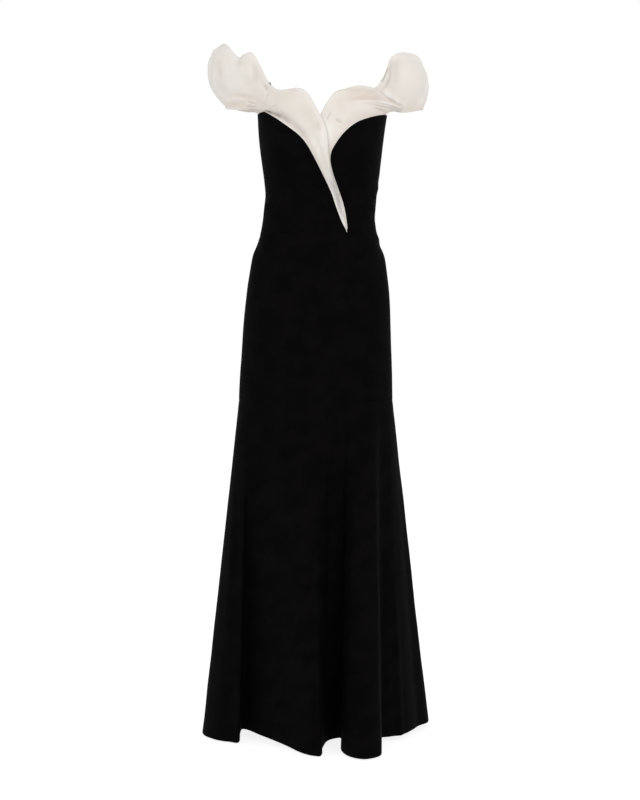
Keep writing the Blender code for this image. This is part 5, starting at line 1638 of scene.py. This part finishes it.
class GOWN_OT_sewing(GownOperator, bpy.types.Operator):
    """Sews the stitches that hold the hem and the petals' edges along the neckline"""

    bl_idname = "gown.sewing"
    bl_label = "Sewing"

    def execute(self, context):
        sizes = context.scene.gown_sizes
        share = np.linspace(0.0, 1.0, HEM_STITCH_STEPS)[None, :]
        row = 1 - (sizes.hem_depth - HEM_STITCH_DROP) / FLARE_DROP
        rows = np.array([row - HEM_ROW_STEP, row, row + HEM_ROW_STEP])[:, None]
        grid = flare_surface(*np.broadcast_arrays(share, rows))
        hem = grid[1] - grid_normals(grid, -1.0)[1] * (sizes.crepe_wall * HEM_THICKER + STITCH_PROUD)
        sew_stitches("hem_stitches", [hem], "black_thread", context, pitch=2.6, length=0.8)
        u = np.array([PETAL_STITCH_COLUMNS])
        v = np.linspace(*PETAL_STITCH_SPAN, PETAL_STITCH_STEPS)[:, None]
        lines = []
        for side in SIDES:
            marks, _ = collar_marks(side)
            grid, _ = organza_surface(u, v, marks, OUTWARD[side], sizes)
            lines.append((grid + grid_normals(grid, OUTWARD[side]) * STITCH_PROUD)[:, -2])
        sew_stitches("petal_edge_stitches", lines, "ivory_thread", context)
        return {"FINISHED"}


class GOWN_PT_panel(bpy.types.Panel):
    """Lists the gown's steps, sizes and colours"""

    bl_idname = "GOWN_PT_panel"
    bl_label = "Trumpet gown"
    bl_space_type = "VIEW_3D"
    bl_region_type = "UI"
    bl_category = "Gown"

    def draw(self, context):
        layout = self.layout
        for operator in STEPS:
            layout.operator(operator.bl_idname)
        for group in (context.scene.gown_sizes, context.scene.gown_colours):
            box = layout.box()
            for name in group.__annotations__:
                box.prop(group, name)


# Studio

CAMERA_PLACE = (-0.0009, -3.1, -0.429)
CAMERA_LENS = 63.41
CAMERA_REACH = 200.0
FLOOR_LEVEL = HEM - 0.004
FLOOR_REACH = 40.0

Light = namedtuple("Light", "name x y z width power")
LIGHTS = [
    Light("key_light", 1.8, -3.2, 1.9, 2.2, 49.0),
    Light("fill_light", -2.4, -2.6, 0.9, 2.4, 18.0),
    Light("back_light", 0.4, 3.0, 2.0, 2.6, 30.0),
]
LIGHT_AIM = Vector((0.0, 0.0, -0.3))


def set_camera():
    """The photograph's view: level, from in front, at the height of the hips."""
    camera = bpy.data.cameras.new("gown_camera")
    camera.lens = CAMERA_LENS
    camera.clip_end = CAMERA_REACH
    holder = bpy.data.objects.new("gown_camera", camera)
    holder.location = CAMERA_PLACE
    holder.rotation_euler = (math.radians(90), 0.0, 0.0)
    bpy.context.scene.collection.objects.link(holder)
    bpy.context.scene.camera = holder


def set_light():
    """An even white surround with three soft lights."""
    scene = bpy.context.scene
    world = bpy.data.worlds.new("white_surround")
    world.use_nodes = True
    backdrop = world.node_tree.nodes["Background"]
    backdrop.inputs["Color"].default_value = (1.0, 1.0, 1.0, 1.0)
    backdrop.inputs["Strength"].default_value = 1.0
    scene.world = world
    scene.view_settings.view_transform = "Standard"
    for row in LIGHTS:
        lamp = bpy.data.lights.new(row.name, "AREA")
        lamp.size = row.width
        lamp.energy = row.power
        holder = bpy.data.objects.new(row.name, lamp)
        holder.location = (row.x, row.y, row.z)
        holder.rotation_euler = (LIGHT_AIM - holder.location).to_track_quat("-Z", "Y").to_euler()
        scene.collection.objects.link(holder)


def set_floor():
    """A plain pale floor just under the hem."""
    mesh = bpy.data.meshes.new("studio_floor")
    corners = [(across * FLOOR_REACH, along * FLOOR_REACH, FLOOR_LEVEL)
               for across, along in ((-1, -1), (1, -1), (1, 1), (-1, 1))]
    mesh.from_pydata(corners, [], [(0, 1, 2, 3)])
    paint = Paint("pale_floor", Base_Color=(0.2, 0.2, 0.2, 1.0), Roughness=0.9, Specular_IOR_Level=0.0,
                  Emission_Color=(1.0, 1.0, 1.0, 1.0), Emission_Strength=0.86)
    mesh.materials.append(paint.material)
    floor = bpy.data.objects.new("studio_floor", mesh)
    bpy.context.scene.collection.objects.link(floor)


STEPS = (GOWN_OT_stage, GOWN_OT_bodice, GOWN_OT_skirt, GOWN_OT_flare, GOWN_OT_petals, GOWN_OT_flounces,
         GOWN_OT_straps, GOWN_OT_zip, GOWN_OT_sewing)
CLASSES = (GownSizes, GownColours, *STEPS, GOWN_PT_panel)


def register():
    """Adds the gown's classes and what a user may change."""
    for made in CLASSES:
        bpy.utils.register_class(made)
    bpy.types.Scene.gown_sizes = PointerProperty(type=GownSizes)
    bpy.types.Scene.gown_colours = PointerProperty(type=GownColours)


def unregister():
    """Takes them away again."""
    del bpy.types.Scene.gown_colours
    del bpy.types.Scene.gown_sizes
    for made in reversed(CLASSES):
        bpy.utils.unregister_class(made)


def main():
    """Runs every step in order."""
    register()
    for step in STEPS:
        family, name = step.bl_idname.split(".")
        getattr(getattr(bpy.ops, family), name)()


if __name__ == "__main__":
    main()
